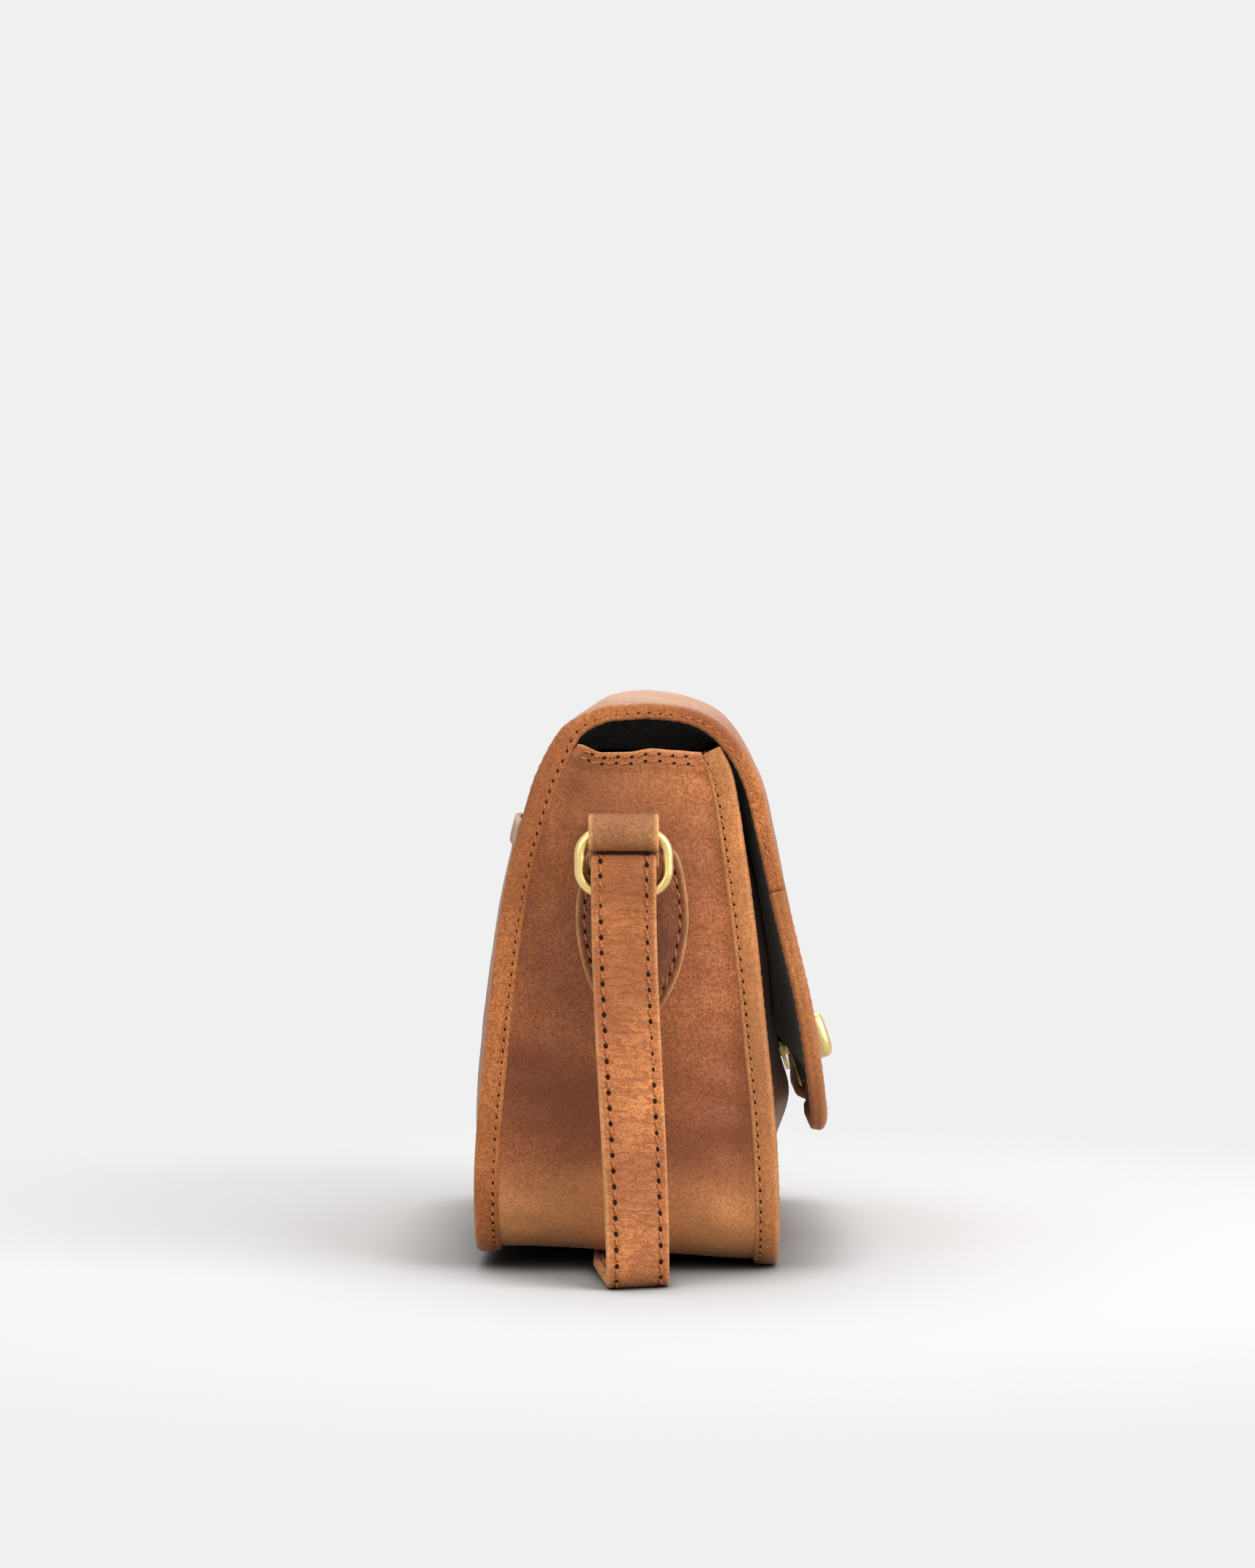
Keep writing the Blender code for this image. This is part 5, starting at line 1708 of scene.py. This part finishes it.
@dataclass
class Band:
    """A flat leather band along a path, with rounded edges and sewn grooves."""

    name: str
    width: float
    thickness: float
    seam_in: float = 0.0033
    pitch: float = 0.0053
    step: float = 0.0014
    face_steps: int = 22
    edge_steps: int = 5
    uneven: float = 1.0
    rub: float = 0.0
    face_waves: tuple[Triple, ...] = ((0.00022, 0.009, 3.3), (0.00012, 0.0035, 4.1))

    def section(self) -> list[tuple[float, float]]:
        """The band's section.

        Returns:
            Places (across, up) round it: top face, edge, under face, edge.
        """
        half, lift = self.width / 2, self.thickness / 2
        radius = lift * 0.92
        flat = half - radius
        spots = [(-flat + 2 * flat * index / self.face_steps, lift)
                 for index in range(self.face_steps)]
        spots += [(flat + radius * math.sin(math.pi * index / self.edge_steps),
                   lift * math.cos(math.pi * index / self.edge_steps))
                  for index in range(self.edge_steps)]
        return spots + [(-across, -up) for across, up in spots]

    def stations(self, path: Sequence[PathPoint], side: int) -> list[Station]:
        """Even stations along the path.

        Args:
            path: (out, z, y, twist) points.
            side: 1 or -1, the end of the bag that "out" counts from.

        Returns:
            Centre, across and up at each place.
        """
        points = [Vector(place) for place in path]
        marks = way_along([point.xy for point in points], 1e-7)
        count = max(int(marks[-1] / self.step), 3)
        made = []
        for number in range(count + 1):
            index, share = find_stretch(marks, marks[-1] * number / count)
            made.append(points[index].lerp(points[index + 1], min(share, 1.0)))
        stations = []
        for index, point in enumerate(made):
            run = made[min(index + 2, count)] - made[max(index - 2, 0)]
            run = Vector((side * run.x, 0, run.y)).normalized()
            across = Matrix.Rotation(point.w, 3, "Z") @ Y_AXIS
            stations.append((Vector((side * point.x, point.z, point.y)), across,
                             run.cross(across).normalized()))
        return stations

    def make(self, stations: Sequence[Station], material: Finish,
             slot: Slot = Slot.STRAP) -> Piece:
        """Make the band along its stations.

        Args:
            stations: centre, across and up at each place.
            material: its leather.
            slot: the record's slot.

        Returns:
            The band.
        """
        spots = self.section()
        sides = len(spots)
        groove = self.width / 2 - self.seam_in

        def shape(index: int, turn: float) -> Triple:
            """The band's section at a station, drawn in at each stitch."""
            centre = stations[index][0]
            a, b = spots[round(turn * sides) % sides]
            mark = index * self.step
            stitch = 0.5 + 0.5 * math.cos(2 * math.pi * mark / self.pitch)
            upper = math.copysign(1.0, b) if abs(b) > self.thickness * 0.3 else 0.0
            b -= upper * 0.00034 * near(abs(a), groove, 0.0015) * (0.5 + 0.5 * stitch)
            b += upper * 0.00012 * near(abs(a), groove + 0.002, 0.0016)
            spot = Vector((centre.x + a * 0.2, centre.y + a, centre.z))
            b += self.uneven * upper * swells(spot, self.face_waves)
            a *= 1 + self.uneven * 0.012 * ripple(centre, 0.014, 5.0)
            worn = 0.75 * ease((abs(a) - (self.width / 2 - 0.0016)) / 0.0012)
            return a, b, self.rub + worn * (0.75 + 0.25 * ripple(centre, 0.01, 1.0))

        builder = tube(stations, shape, sides)
        return finish_piece(self.name, builder, [material], slot)

    def seam_rows(self, stations: Sequence[Station], face: int) -> list[list[Spot]]:
        """The two rows of stitches on one face.

        Args:
            stations: the band's stations.
            face: 1 for the upper face, -1 for the under face.

        Returns:
            Two rows of points and normals.
        """
        rows = []
        for side in (-1, 1):
            place = side * (self.width / 2 - self.seam_in)
            rows.append([(centre + across * place + up * face * (self.thickness / 2 - 0.00004),
                          up * face) for centre, across, up in stations])
        return rows


@dataclass
class Straps:
    """The long strap, its near drop and the short strap on the far side."""

    finishes: Finishes
    width: float = 0.0223
    thickness: float = 0.0028
    ring_plane: float = RING_PLANE
    ring_shift: float = RING_SHIFT
    drop: float = 0.132
    eye: float = 0.00495
    pitch: float = 0.0032
    lean_out: float = 0.026
    twist: float = math.radians(20)
    shift: float = -0.005
    bend: float = 0.007
    end_height: float = 0.086
    slack: float = 0.0068
    fold_start: float = 0.140
    fold_length: float = 0.076
    layers: int = 6
    bar_height: float = 0.072
    buckle_height: float = 0.022
    bar_wire: float = 0.0015
    bar_eye: float = 0.0023
    gap: float = 0.0003
    tail_top: float = 0.112

    @property
    def at_ring(self) -> Triple:
        """The back and front run of a strap at its ring, and how low its eye reaches."""
        return (self.ring_plane - self.pitch / 2, self.ring_plane + self.pitch / 2,
                self.drop - 1.7 * self.eye)

    def lean(self, height: float) -> float:
        """How far the near strap stands off outwards at a height."""
        share = 1 - height / (self.drop - 2 * self.eye)
        return self.lean_out * max(share, 0.0) ** 1.15

    def placed(self, points: Sequence[tuple[float, float]]) -> list[PathPoint]:
        """Give the near drop's points their shift and twist by height.

        Args:
            points: (out, z) points.

        Returns:
            (out, z, y, twist) points.
        """
        made = []
        for out, z in points:
            share = ease(1 - z / self.drop)
            made.append((out, z, self.ring_shift + self.shift * share, self.twist * share))
        return made

    def build(self) -> None:
        """Make the straps and their seams."""
        self.make_near()
        self.make_long()
        self.make_short()

    def make_near(self) -> None:
        """From the folded end up through the near ring, down and under the bag."""
        back_face, front_face, low_eye = self.at_ring
        points = [(back_face + self.lean(z), z) for z in
                  (self.end_height + (low_eye - self.end_height) * step / 6 for step in range(7))]
        crown = self.drop + self.slack
        points.append((back_face - 0.0006, (low_eye + crown) / 2))
        points += arc(self.ring_plane, crown, self.eye - 0.0002, 185, -5, 12)
        points.append((front_face + 0.0006, (low_eye + crown) / 2))
        foot = self.bend + self.thickness / 2
        points += [(front_face + self.lean(z), z) for z in
                   (low_eye + (foot - low_eye) * step / 16 for step in range(17))]
        path = self.placed(points)
        bend_out = front_face + self.lean(foot) - self.bend
        end = path[-1]
        path += [(out, z, end[2], end[3]) for out, z in
                 arc(bend_out, foot, self.bend, -12, -90, 8)]
        path.append((0.105, self.thickness / 2, self.ring_shift, 0.0))
        band = Band("near_strap", self.width, self.thickness)
        stations = band.stations(path, -1)
        strap = band.make(stations, self.finishes.strap)
        seam = sew("near_strap_seams", band.seam_rows(stations, -1) + band.seam_rows(stations, 1),
                   STRAP_THREAD, self.finishes.sewing, Slot.STRAP)
        for piece in (strap, seam):
            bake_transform(piece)
        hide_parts("strap_near_drop")

    def make_long(self) -> None:
        """Under the bag, the stowed folds, the rise through the buckle and the tail."""
        layer_z = [self.thickness / 2 + self.pitch * layer for layer in range(self.layers)]
        far = self.fold_start + self.fold_length
        run = [(-0.1045, layer_z[0]), (-0.05, layer_z[0]), (0.05, layer_z[0]), (far, layer_z[0])]
        radius = self.pitch / 2
        for layer in range(1, self.layers):
            centre = layer_z[layer] - radius
            if layer % 2:
                run += arc(far, centre, radius, -90, 90, 8)[1:]
                run.append((self.fold_start, layer_z[layer]))
            else:
                run += arc(self.fold_start, centre, radius, 270, 90, 8)[1:]
                run.append((far, layer_z[layer]))
        wire = self.bar_wire
        rise = self.ring_plane - wire - self.thickness / 2 - self.gap
        turn = rise + self.bend
        run[-1] = (turn, layer_z[-1])
        run += arc(turn, layer_z[-1] + self.bend, self.bend, 270, 180, 10)[1:]
        bar = self.bar_height - self.buckle_height
        eye = self.bar_eye + self.thickness
        over = self.ring_plane + eye + self.gap + self.thickness / 2
        run += [(rise, bar - wire), (rise, bar + wire)]
        for step in range(1, 9):
            z = bar + wire + (self.buckle_height - 2 * wire) * step / 8
            run.append((rise + (over - rise) * ease(step / 8), z))
        rest = self.ring_plane + self.pitch / 2 + self.thickness + self.gap
        run += [(over, self.bar_height + self.bar_eye), (rest, self.bar_height + 2 * eye),
                (rest, self.tail_top)]
        path = [(out, z, self.ring_shift, 0.0) for out, z in run]
        band = Band("long_strap", self.width, self.thickness)
        stations = band.stations(path, 1)
        strap = band.make(stations, self.finishes.strap)
        self.open_tail(strap)
        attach(strap, Body.BAG.value)
        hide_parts("strap_long")
        seam = sew("long_strap_seams", band.seam_rows(stations, 1) + band.seam_rows(stations, -1),
                   STRAP_THREAD, self.finishes.sewing, Slot.STRAP)
        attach(seam, Body.BAG.value)

    def open_tail(self, strap: Piece) -> None:
        """Punch the prong's slot out of the tail, and apply the cut.

        Args:
            strap: the long strap.
        """
        builder = bmesh.new()
        low, high = self.bar_height - self.buckle_height + 0.00375, self.bar_height - 0.003
        bmesh.ops.create_cube(builder, size=1, matrix=Matrix.Translation(
            (self.ring_plane + 0.002, self.ring_shift, (low + high) / 2))
            @ Matrix.Diagonal((0.02, 0.0034, high - low, 1)))
        cutter = finish_piece("tail_slot", builder, [], Slot.STRAP, smooth=False)
        cut = strap.modifiers.new("slot", "BOOLEAN")
        cut.operation = "DIFFERENCE"
        cut.solver = "EXACT"
        cut.object = cutter
        graph = bpy.context.evaluated_depsgraph_get()
        mesh = bpy.data.meshes.new_from_object(strap.evaluated_get(graph))
        strap.modifiers.clear()
        strap.data = mesh
        bpy.data.objects.remove(cutter)

    def make_short(self) -> None:
        """The short strap from the far ring to the buckle, sewn to a closed loop."""
        back_face, front_face, low_eye = self.at_ring
        meet = self.bar_height + (self.drop - self.bar_height) * 0.4
        eye = self.bar_eye + self.thickness / 2
        high_eye = self.bar_height + 1.7 * eye
        points = [(back_face, meet + 0.0003), (back_face, low_eye)]
        points += arc(self.ring_plane, self.drop, self.eye, 235, -55, 16)
        points += [(front_face, low_eye), (front_face, high_eye)]
        points += arc(self.ring_plane, self.bar_height, eye, 55, -235, 16)
        points += [(back_face, high_eye), (back_face, meet)]
        band = Band("short_strap", self.width, self.thickness)
        stations = band.stations([(out, z, self.ring_shift, 0.0) for out, z in points], 1)
        strap = band.make(stations, self.finishes.strap)
        rows = []
        for row in band.seam_rows(stations, 1) + band.seam_rows(stations, -1):
            rows.append([spot for spot in row if self.bar_height + 0.008 < spot[0].z < low_eye
                         and spot[0].x > self.ring_plane])
        rows = [row for row in rows if len(row) > 4]
        seam = sew("short_strap_seams", rows, STRAP_THREAD, self.finishes.sewing, Slot.STRAP)
        for piece in (strap, seam):
            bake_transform(piece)
        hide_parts("strap_short")


@dataclass
class RingSide:
    """One ring with its sewn leather tab and loop."""

    lines: BagLines
    finishes: Finishes
    side: int
    body: str
    label: str
    wire: float = 0.00205
    half_wide: float = 0.015
    tall: float = 0.0205
    corner: float = 0.0078
    plane: float = RING_PLANE
    shift: float = RING_SHIFT
    axis: float = 0.1525
    tab_half: float = 0.01925
    tab_top: float = 0.149
    tab_low: float = 0.087
    loop_half: float = 0.01205
    loop_thick: float = 0.0020
    loop_radius: float = 0.0054
    loop_foot: float = 0.1405
    seam_in: float = 0.0031
    patch_shift: float = -0.0020

    OUTLINE = ((0.62, 1.00), (0.86, 0.90), (1.00, 0.66), (0.98, 0.46), (0.80, 0.24),
               (0.46, 0.06), (0.00, 0.00))

    def build(self) -> None:
        """Make the ring, the patch, its seam and the loop."""
        self.make_ring()
        self.make_patch()
        self.make_loop()

    def make_ring(self) -> None:
        """The oval brass ring."""
        middle = self.axis - self.tall / 2
        points = rounded_loop((0, 0), (self.half_wide, self.tall / 2), self.corner, 18, 18)
        stations = [(Vector((self.side * self.plane, self.shift + here.x, middle + here.y)),
                     X_AXIS, Vector((0, run.y, -run.x))) for here, run in round_trip(points)]

        def section(index: int, turn: float) -> Triple:
            """The wire's round section."""
            angle = 2 * math.pi * turn
            return self.wire * math.cos(angle), self.wire * math.sin(angle), 0.0

        builder = tube(stations, section, 20, closed=True)
        ring = finish_piece("ring_wire_" + self.label, builder, [self.finishes.brass], Slot.BRASS)
        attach(ring, self.body)
        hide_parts("ring_" + self.label)

    def outline(self, inset: float) -> list[Vector]:
        """The patch's outline (y, z), drawn in by an inset.

        Args:
            inset: how far inside the patch's edge.

        Returns:
            The points, corner to corner.
        """
        height = self.tab_top - self.tab_low
        right = spline([Vector((y * self.tab_half, self.tab_low + z * height))
                        for y, z in self.OUTLINE], 12)
        points = right + [Vector((-point.x, point.y)) for point in reversed(right[:-1])]
        middle = Vector((0, self.tab_low + height * 0.55))
        drawn = []
        for index, point in enumerate(points):
            before = points[max(index - 1, 0)]
            after = points[min(index + 1, len(points) - 1)]
            run = (after - before).normalized()
            normal = Vector((run.y, -run.x))
            if normal.dot(point - middle) < 0:
                normal = -normal
            drawn.append(point - normal * inset)
        return drawn

    def lie(self, y: float, z: float, lift: float) -> Vector:
        """A point over the gusset's face, at a height above it."""
        y += self.patch_shift
        return Vector((self.side * (self.lines.gusset_side_x(y, z) + lift), y, z))

    def make_patch(self) -> None:
        """The sewn patch under the ring, following the gusset."""
        builder = bmesh.new()
        wear_and_painted_light = builder.verts.layers.float.new("wear_and_painted_light")
        levels = ((0.0, -0.0008, 0.2), (0.0, 0.0014, 0.7), (0.00025, 0.0021, 0.8),
                  (0.0007, 0.0025, 0.5), (0.0016, 0.00265, 0.1), (0.0024, 0.0025, 0.0),
                  (self.seam_in, 0.00225, 0.0), (0.0040, 0.0026, 0.0), (0.0062, 0.0028, 0.0),
                  (0.0090, 0.0029, 0.0), (0.0125, 0.0030, 0.0))
        previous = None
        for inset, lift, worn in levels:
            loop = []
            for point in self.outline(inset):
                spot = self.lie(point.x, point.y, lift)
                spot.x += self.side * 0.00022 * ripple(spot, 0.006, 2.2)
                vertex = builder.verts.new(spot)
                vertex[wear_and_painted_light] = worn * (0.7 + 0.3 * ripple(spot, 0.008, 1.0))
                loop.append(vertex)
            edges = [builder.edges.new((loop[index], loop[(index + 1) % len(loop)]))
                     for index in range(len(loop))]
            if previous:
                bmesh.ops.bridge_loops(builder, edges=previous + edges)
            else:
                builder.faces.new(loop)
            previous = edges
        bmesh.ops.holes_fill(builder, edges=previous, sides=0)
        bmesh.ops.triangulate(
            builder, faces=[face for face in builder.faces if len(face.verts) > 4])
        bmesh.ops.recalc_face_normals(builder, faces=builder.faces[:])
        patch = finish_piece("tab_patch_" + self.label, builder, [self.finishes.tab], Slot.TAN)
        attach(patch, Body.BAG.value)
        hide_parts("ring_tab_" + self.label)
        row = [(self.lie(point.x, point.y, 0.0024), X_AXIS * self.side)
               for point in self.outline(self.seam_in)]
        seam = sew("tab_seam_" + self.label, [row], TAB_THREAD, self.finishes.sewing)
        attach(seam, Body.BAG.value)

    def make_loop(self) -> None:
        """The leather loop that carries the ring's upper bar."""
        face, radius = self.lines.gusset_side_x(0, self.axis), self.loop_radius
        path = [(face + 0.0016, self.loop_foot), (face + 0.0016, 0.1500), (face + 0.0021, 0.1560)]
        path += arc(self.plane, self.axis, radius, 118, -100, 20)
        path += [(self.plane - 0.004, self.axis - radius + 0.0002),
                 (face + 0.0046, 0.1452), (face + 0.0040, 0.1410)]
        # The loop's rub makes it paler than the patch of the same leather: partly rubbing, partly
        # painted highlight on the lit loop.
        band = Band("tab_loop_" + self.label, 2 * self.loop_half, self.loop_thick,
                    seam_in=UNSEWN, step=0.0009, uneven=0.8, rub=0.30)
        stations = band.stations([(out, z, self.shift, 0.0) for out, z in path], self.side)
        loop = band.make(stations, self.finishes.tab, Slot.TAN)
        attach(loop, Body.BAG.value)


@dataclass
class Buckle:
    """The prong buckle and keeper on the far side."""

    finishes: Finishes
    shift: float = RING_SHIFT
    deep_low: float = 0.1359
    deep_high: float = 0.1469
    half_strap: float = 0.01115
    gap: float = 0.0003
    half_thick: float = 0.0008
    half_tall: float = 0.0040
    corner: float = 0.0016
    keeper_height: float = 0.094

    def build(self) -> None:
        """Dress the buckle's pieces."""
        for name in ("buckle_frame", "buckle_prong"):
            dress(name, self.finishes.brass)
        self.make_keeper()

    def make_keeper(self) -> None:
        """The keeper: a narrow closed band round the strap and its tail."""
        half_deep = (self.deep_high - self.deep_low) / 2 + self.half_thick
        half_wide = self.half_strap + self.gap + self.half_thick
        points = rounded_loop(((self.deep_low + self.deep_high) / 2, self.shift),
                              (half_deep, half_wide), self.corner, 8, 9)
        stations = [(Vector((here.x, here.y, self.keeper_height)), Z_AXIS,
                     Vector((run.y, -run.x, 0))) for here, run in round_trip(points)]

        def section(index: int, turn: float) -> Triple:
            """The keeper's flat section, with its wear."""
            a, b = oval(turn, self.half_tall, self.half_thick, 4.0)
            return a, b, 0.5 * ease((abs(a) - 0.003) / 0.001)

        builder = tube(stations, section, 24, closed=True)
        keeper = finish_piece("keeper_band", builder, [self.finishes.strap], Slot.STRAP)
        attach(keeper, Body.BAG.value)
        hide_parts("strap_keeper")


def dress(name: str, material: Finish) -> None:
    """Give a solid that keeps its shape its finish.

    Args:
        name: the solid's name.
        material: its finish.
    """
    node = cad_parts[name]
    node.data.materials.clear()
    node.data.materials.append(material)


@dataclass
class TurnLock:
    """The turn lock: plates, post, toggle and screws."""

    lines: BagLines
    finishes: Finishes
    toggle_low: float = 0.0119
    toggle_side: float = 0.0050
    toggle_dome: float = 0.0029
    half_long: float = 0.00875
    half_wide: float = 0.0044
    eyelet_low: float = 0.0100
    eyelet_half: tuple[float, float] = (0.0071, 0.0121)
    eyelet_rim: float = 0.0019

    def build(self) -> None:
        """Make the visible pieces and dress the rest."""
        self.make_toggle()
        self.make_eyelet("eyelet_rim", "eyelet_front_plate", self.eyelet_low, 0.0015)
        self.make_eyelet("eyelet_under", "eyelet_back_plate", 0.0035, 0.0014)
        for name in ("lock_base_plate", "toggle_retaining_ring", "eyelet_screw_lower",
                     "eyelet_screw_upper"):
            dress(name, self.finishes.brass)
        for name in ("lock_backing_plate", "toggle_spring_washer"):
            dress(name, self.finishes.steel)

    def make_toggle(self) -> None:
        """The knob: a foot, a waist and a domed head over a long oval."""
        low, side, dome = self.toggle_low, self.toggle_side, self.toggle_dome
        levels = [(-0.014, 0.25, 0.50), (0.0, 0.25, 0.50), (0.0004, 0.86, 0.78),
                  (0.0006, 0.97, 0.94), (0.0014, 1.0, 1.0), (0.0036, 0.985, 0.97),
                  (side - 0.0006, 1.0, 1.0), (side, 0.99, 0.985)]
        for step in range(1, 8):
            angle = math.pi / 2 * step / 8
            levels.append((side + dome * math.sin(angle), 0.99 * math.cos(angle) ** 0.42,
                           0.985 * math.cos(angle) ** 0.55))
        turn = self.lines.lock_place
        stations = [(turn @ Vector((0, 0, low + height)), turn.to_3x3() @ X_AXIS,
                     turn.to_3x3() @ Y_AXIS) for height, _, _ in levels]

        def section(index: int, share: float) -> Triple:
            """The knob's section at a level."""
            a, b = oval(share, self.half_wide, self.half_long, 2.6)
            return a * levels[index][2], b * levels[index][1], 0.0

        builder = tube(stations, section, 56)
        piece = finish_piece("turn_knob", builder, [self.finishes.brass], Slot.BRASS)
        bevel = piece.modifiers.new("soft", "BEVEL")
        bevel.width = 0.00035
        bevel.segments = 2
        bevel.limit_method = "ANGLE"
        bevel.angle_limit = math.radians(32)
        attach(piece, Body.TOGGLE.value)
        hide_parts("toggle")

    def make_eyelet(self, name: str, node: str, low: float, thick: float) -> None:
        """A plate with its slot: a closed oval frame with rounded edges.

        Args:
            name: the piece's name.
            node: the solid that it replaces.
            low: its height above the lock's plane.
            thick: its thickness.
        """
        turn, drop = self.lines.lock_place, self.lines.lock.eyelet_drop
        half_a, half_b = self.eyelet_half
        stations = []
        count = 96
        for index in range(count + 1):
            angle = 2 * math.pi * index / count
            a, b = oval(index / count, half_a, half_b, 2.7)
            normal = Vector((math.cos(angle) / half_a, math.sin(angle) / half_b, 0)).normalized()
            stations.append((turn @ Vector((a, b - drop, low + thick / 2)),
                             turn.to_3x3() @ normal, turn.to_3x3() @ Z_AXIS))

        def section(index: int, share: float) -> Triple:
            """The rim's section."""
            a, b = oval(share, self.eyelet_rim, thick / 2, 2.6)
            return a, b, 0.0

        builder = tube(stations, section, 18, closed=True)
        piece = finish_piece(name, builder, [self.finishes.brass], Slot.BRASS)
        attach(piece, Body.FLAP.value)
        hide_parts(node)


# Studio

@dataclass(frozen=True)
class Lamp:
    """A soft square lamp that looks at a point over the floor's origin."""

    name: str
    place: tuple[float, float, float]
    aim_height: float
    power: float
    side: float = 1.3

    def add(self) -> None:
        """Put the lamp in the scene."""
        data = bpy.data.lights.new(self.name, "AREA")
        data.shape = "RECTANGLE"
        data.size = data.size_y = self.side
        data.energy = self.power
        lamp = bpy.data.objects.new(self.name, data)
        bpy.context.collection.objects.link(lamp)
        lamp.location = self.place
        run = Vector((0, 0, self.aim_height)) - Vector(self.place)
        lamp.rotation_euler = run.to_track_quat("-Z", "Y").to_euler()


@dataclass
class Studio:
    """The pale floor, the soft lamps and the camera of the photograph."""

    lamps: tuple[Lamp, ...] = (
        Lamp("top_lamp", (0.42, 0.05, 1.15), 0.08, 12.5),
        Lamp("side_lamp", (-1.40, 0.60, 0.90), 0.09, 9.4),
        Lamp("front_lamp", (-0.95, -1.10, 0.85), 0.09, 24.5),
    )
    backdrop: float = 0.871
    world_strength: float = 0.655
    paper: float = 0.57
    painted_shadow_reach: float = 0.05
    fade_from: float = 0.22
    fade_to: float = 0.50
    floor_half: float = 6.0
    camera: tuple[float, float, float] = (-1.425, -0.012, 0.169)
    aim: tuple[float, float, float] = (-0.130, -0.0004, 0.169)
    lens: float = 86.6

    def build(self) -> None:
        """Set the stage."""
        self.make_camera()
        self.make_world()
        self.make_floor()
        for lamp in self.lamps:
            lamp.add()
        bpy.context.scene.view_settings.view_transform = "Standard"

    def make_camera(self) -> None:
        """The level camera, which looks at the side gusset from a little to the front."""
        data = bpy.data.cameras.new("camera")
        data.sensor_fit = "VERTICAL"
        data.sensor_height = 36.0
        data.lens = self.lens
        data.clip_start = 0.05
        camera = bpy.data.objects.new("camera", data)
        bpy.context.collection.objects.link(camera)
        camera.location = self.camera
        run = Vector(self.aim) - Vector(self.camera)
        camera.rotation_euler = (math.pi / 2, 0, math.atan2(run.y, run.x) - math.pi / 2)
        bpy.context.scene.camera = camera

    def make_world(self) -> None:
        """An even pale world; what the camera and gloss see is the backdrop."""
        world = bpy.data.worlds.new("studio")
        bpy.context.scene.world = world
        world.use_nodes = True
        tree = world.node_tree
        tree.nodes.clear()
        seen = add_node(tree, "ShaderNodeBackground", {"Color": self.backdrop_colour})
        lit = add_node(tree, "ShaderNodeBackground", {
            "Color": (1, 1, 1, 1), "Strength": self.world_strength})
        self.finish_tree(tree, "ShaderNodeOutputWorld", self.seen_share(tree), lit, seen)

    @property
    def backdrop_colour(self) -> tuple[float, float, float, float]:
        """The backdrop's grey as a shader's colour."""
        return self.backdrop, self.backdrop, self.backdrop, 1

    def finish_tree(self, tree: bpy.types.NodeTree, kind: str, share: Socket,
                    lit: bpy.types.Node, seen: bpy.types.Node) -> None:
        """Mix two shaders into a tree's output.

        Args:
            tree: the nodes of the world or of the floor's material.
            kind: the type of the output node.
            share: how much of the second shader shows.
            lit: the first shader.
            seen: the second shader.
        """
        mix = add_node(tree, "ShaderNodeMixShader", {
            "Fac": share, 1: lit.outputs[0], 2: seen.outputs[0]})
        add_node(tree, kind, {"Surface": mix.outputs[0]})

    def seen_share(self, tree: bpy.types.NodeTree) -> Socket:
        """One where the camera, gloss or glass looks, and nothing for the light.

        Args:
            tree: the nodes of the world or of the floor's material.

        Returns:
            The share that shows the backdrop.
        """
        path = tree.nodes.new("ShaderNodeLightPath")
        share = path.outputs["Is Camera Ray"]
        for ray in ("Is Glossy Ray", "Is Transmission Ray"):
            share = add_node(tree, "ShaderNodeMath", {0: share, 1: path.outputs[ray]},
                             operation="MAXIMUM").outputs[0]
        return share

    def make_floor(self) -> None:
        """A floor that fades into the backdrop away from the bag, with a painted contact shadow
        near the bag.
        """
        builder = bmesh.new()
        bmesh.ops.create_grid(builder, x_segments=1, y_segments=1, size=self.floor_half)
        mesh = bpy.data.meshes.new("floor")
        builder.to_mesh(mesh)
        builder.free()
        floor = bpy.data.objects.new("floor", mesh)
        bpy.context.collection.objects.link(floor)
        material = bpy.data.materials.new("floor_paper")
        material.use_nodes = True
        tree = material.node_tree
        tree.nodes.clear()
        # Painted contact shadow: an occlusion node darkens the paper's colour near the bag.
        near_by = add_node(tree, "ShaderNodeAmbientOcclusion",
                           {"Distance": self.painted_shadow_reach}, samples=12)
        painted_shadow_share = add_node(tree, "ShaderNodeMapRange", {
            "Value": near_by.outputs["AO"], "From Min": 0.15, "From Max": 0.92, "To Min": 0.10})
        shadowed_paper = add_node(tree, "ShaderNodeVectorMath", {
            0: (self.paper, self.paper, self.paper), "Scale": painted_shadow_share.outputs["Result"]},
            operation="SCALE")
        paper = add_node(tree, "ShaderNodeBsdfDiffuse", {"Color": shadowed_paper.outputs["Vector"]})
        glow = add_node(tree, "ShaderNodeEmission", {"Color": self.backdrop_colour})
        coords = add_node(tree, "ShaderNodeTexCoord")
        far = add_node(tree, "ShaderNodeVectorMath", {0: coords.outputs["Object"]},
                       operation="LENGTH")
        fade = add_node(tree, "ShaderNodeMapRange", {
            "Value": far.outputs["Value"], "From Min": self.fade_from, "From Max": self.fade_to},
            interpolation_type="SMOOTHSTEP")
        share = add_node(tree, "ShaderNodeMath", {
            0: fade.outputs["Result"], 1: self.seen_share(tree)}, operation="MULTIPLY")
        self.finish_tree(tree, "ShaderNodeOutputMaterial", share.outputs[0], paper, glow)
        mesh.materials.append(material)


def main() -> None:
    """Build the looks of the whole bag."""
    logging.basicConfig(level=logging.INFO, format="%(relativeCreated)d %(message)s")
    Studio().build()
    finishes = Finishes()
    Shell(LINES, finishes).build()
    Bindings(LINES, finishes).build()
    Straps(finishes).build()
    RingSide(LINES, finishes, -1, Body.RING_LEFT.value, "left").build()
    RingSide(LINES, finishes, 1, Body.RING_RIGHT.value, "right").build()
    Buckle(finishes).build()
    TurnLock(LINES, finishes).build()


if __name__ == "__main__":
    main()
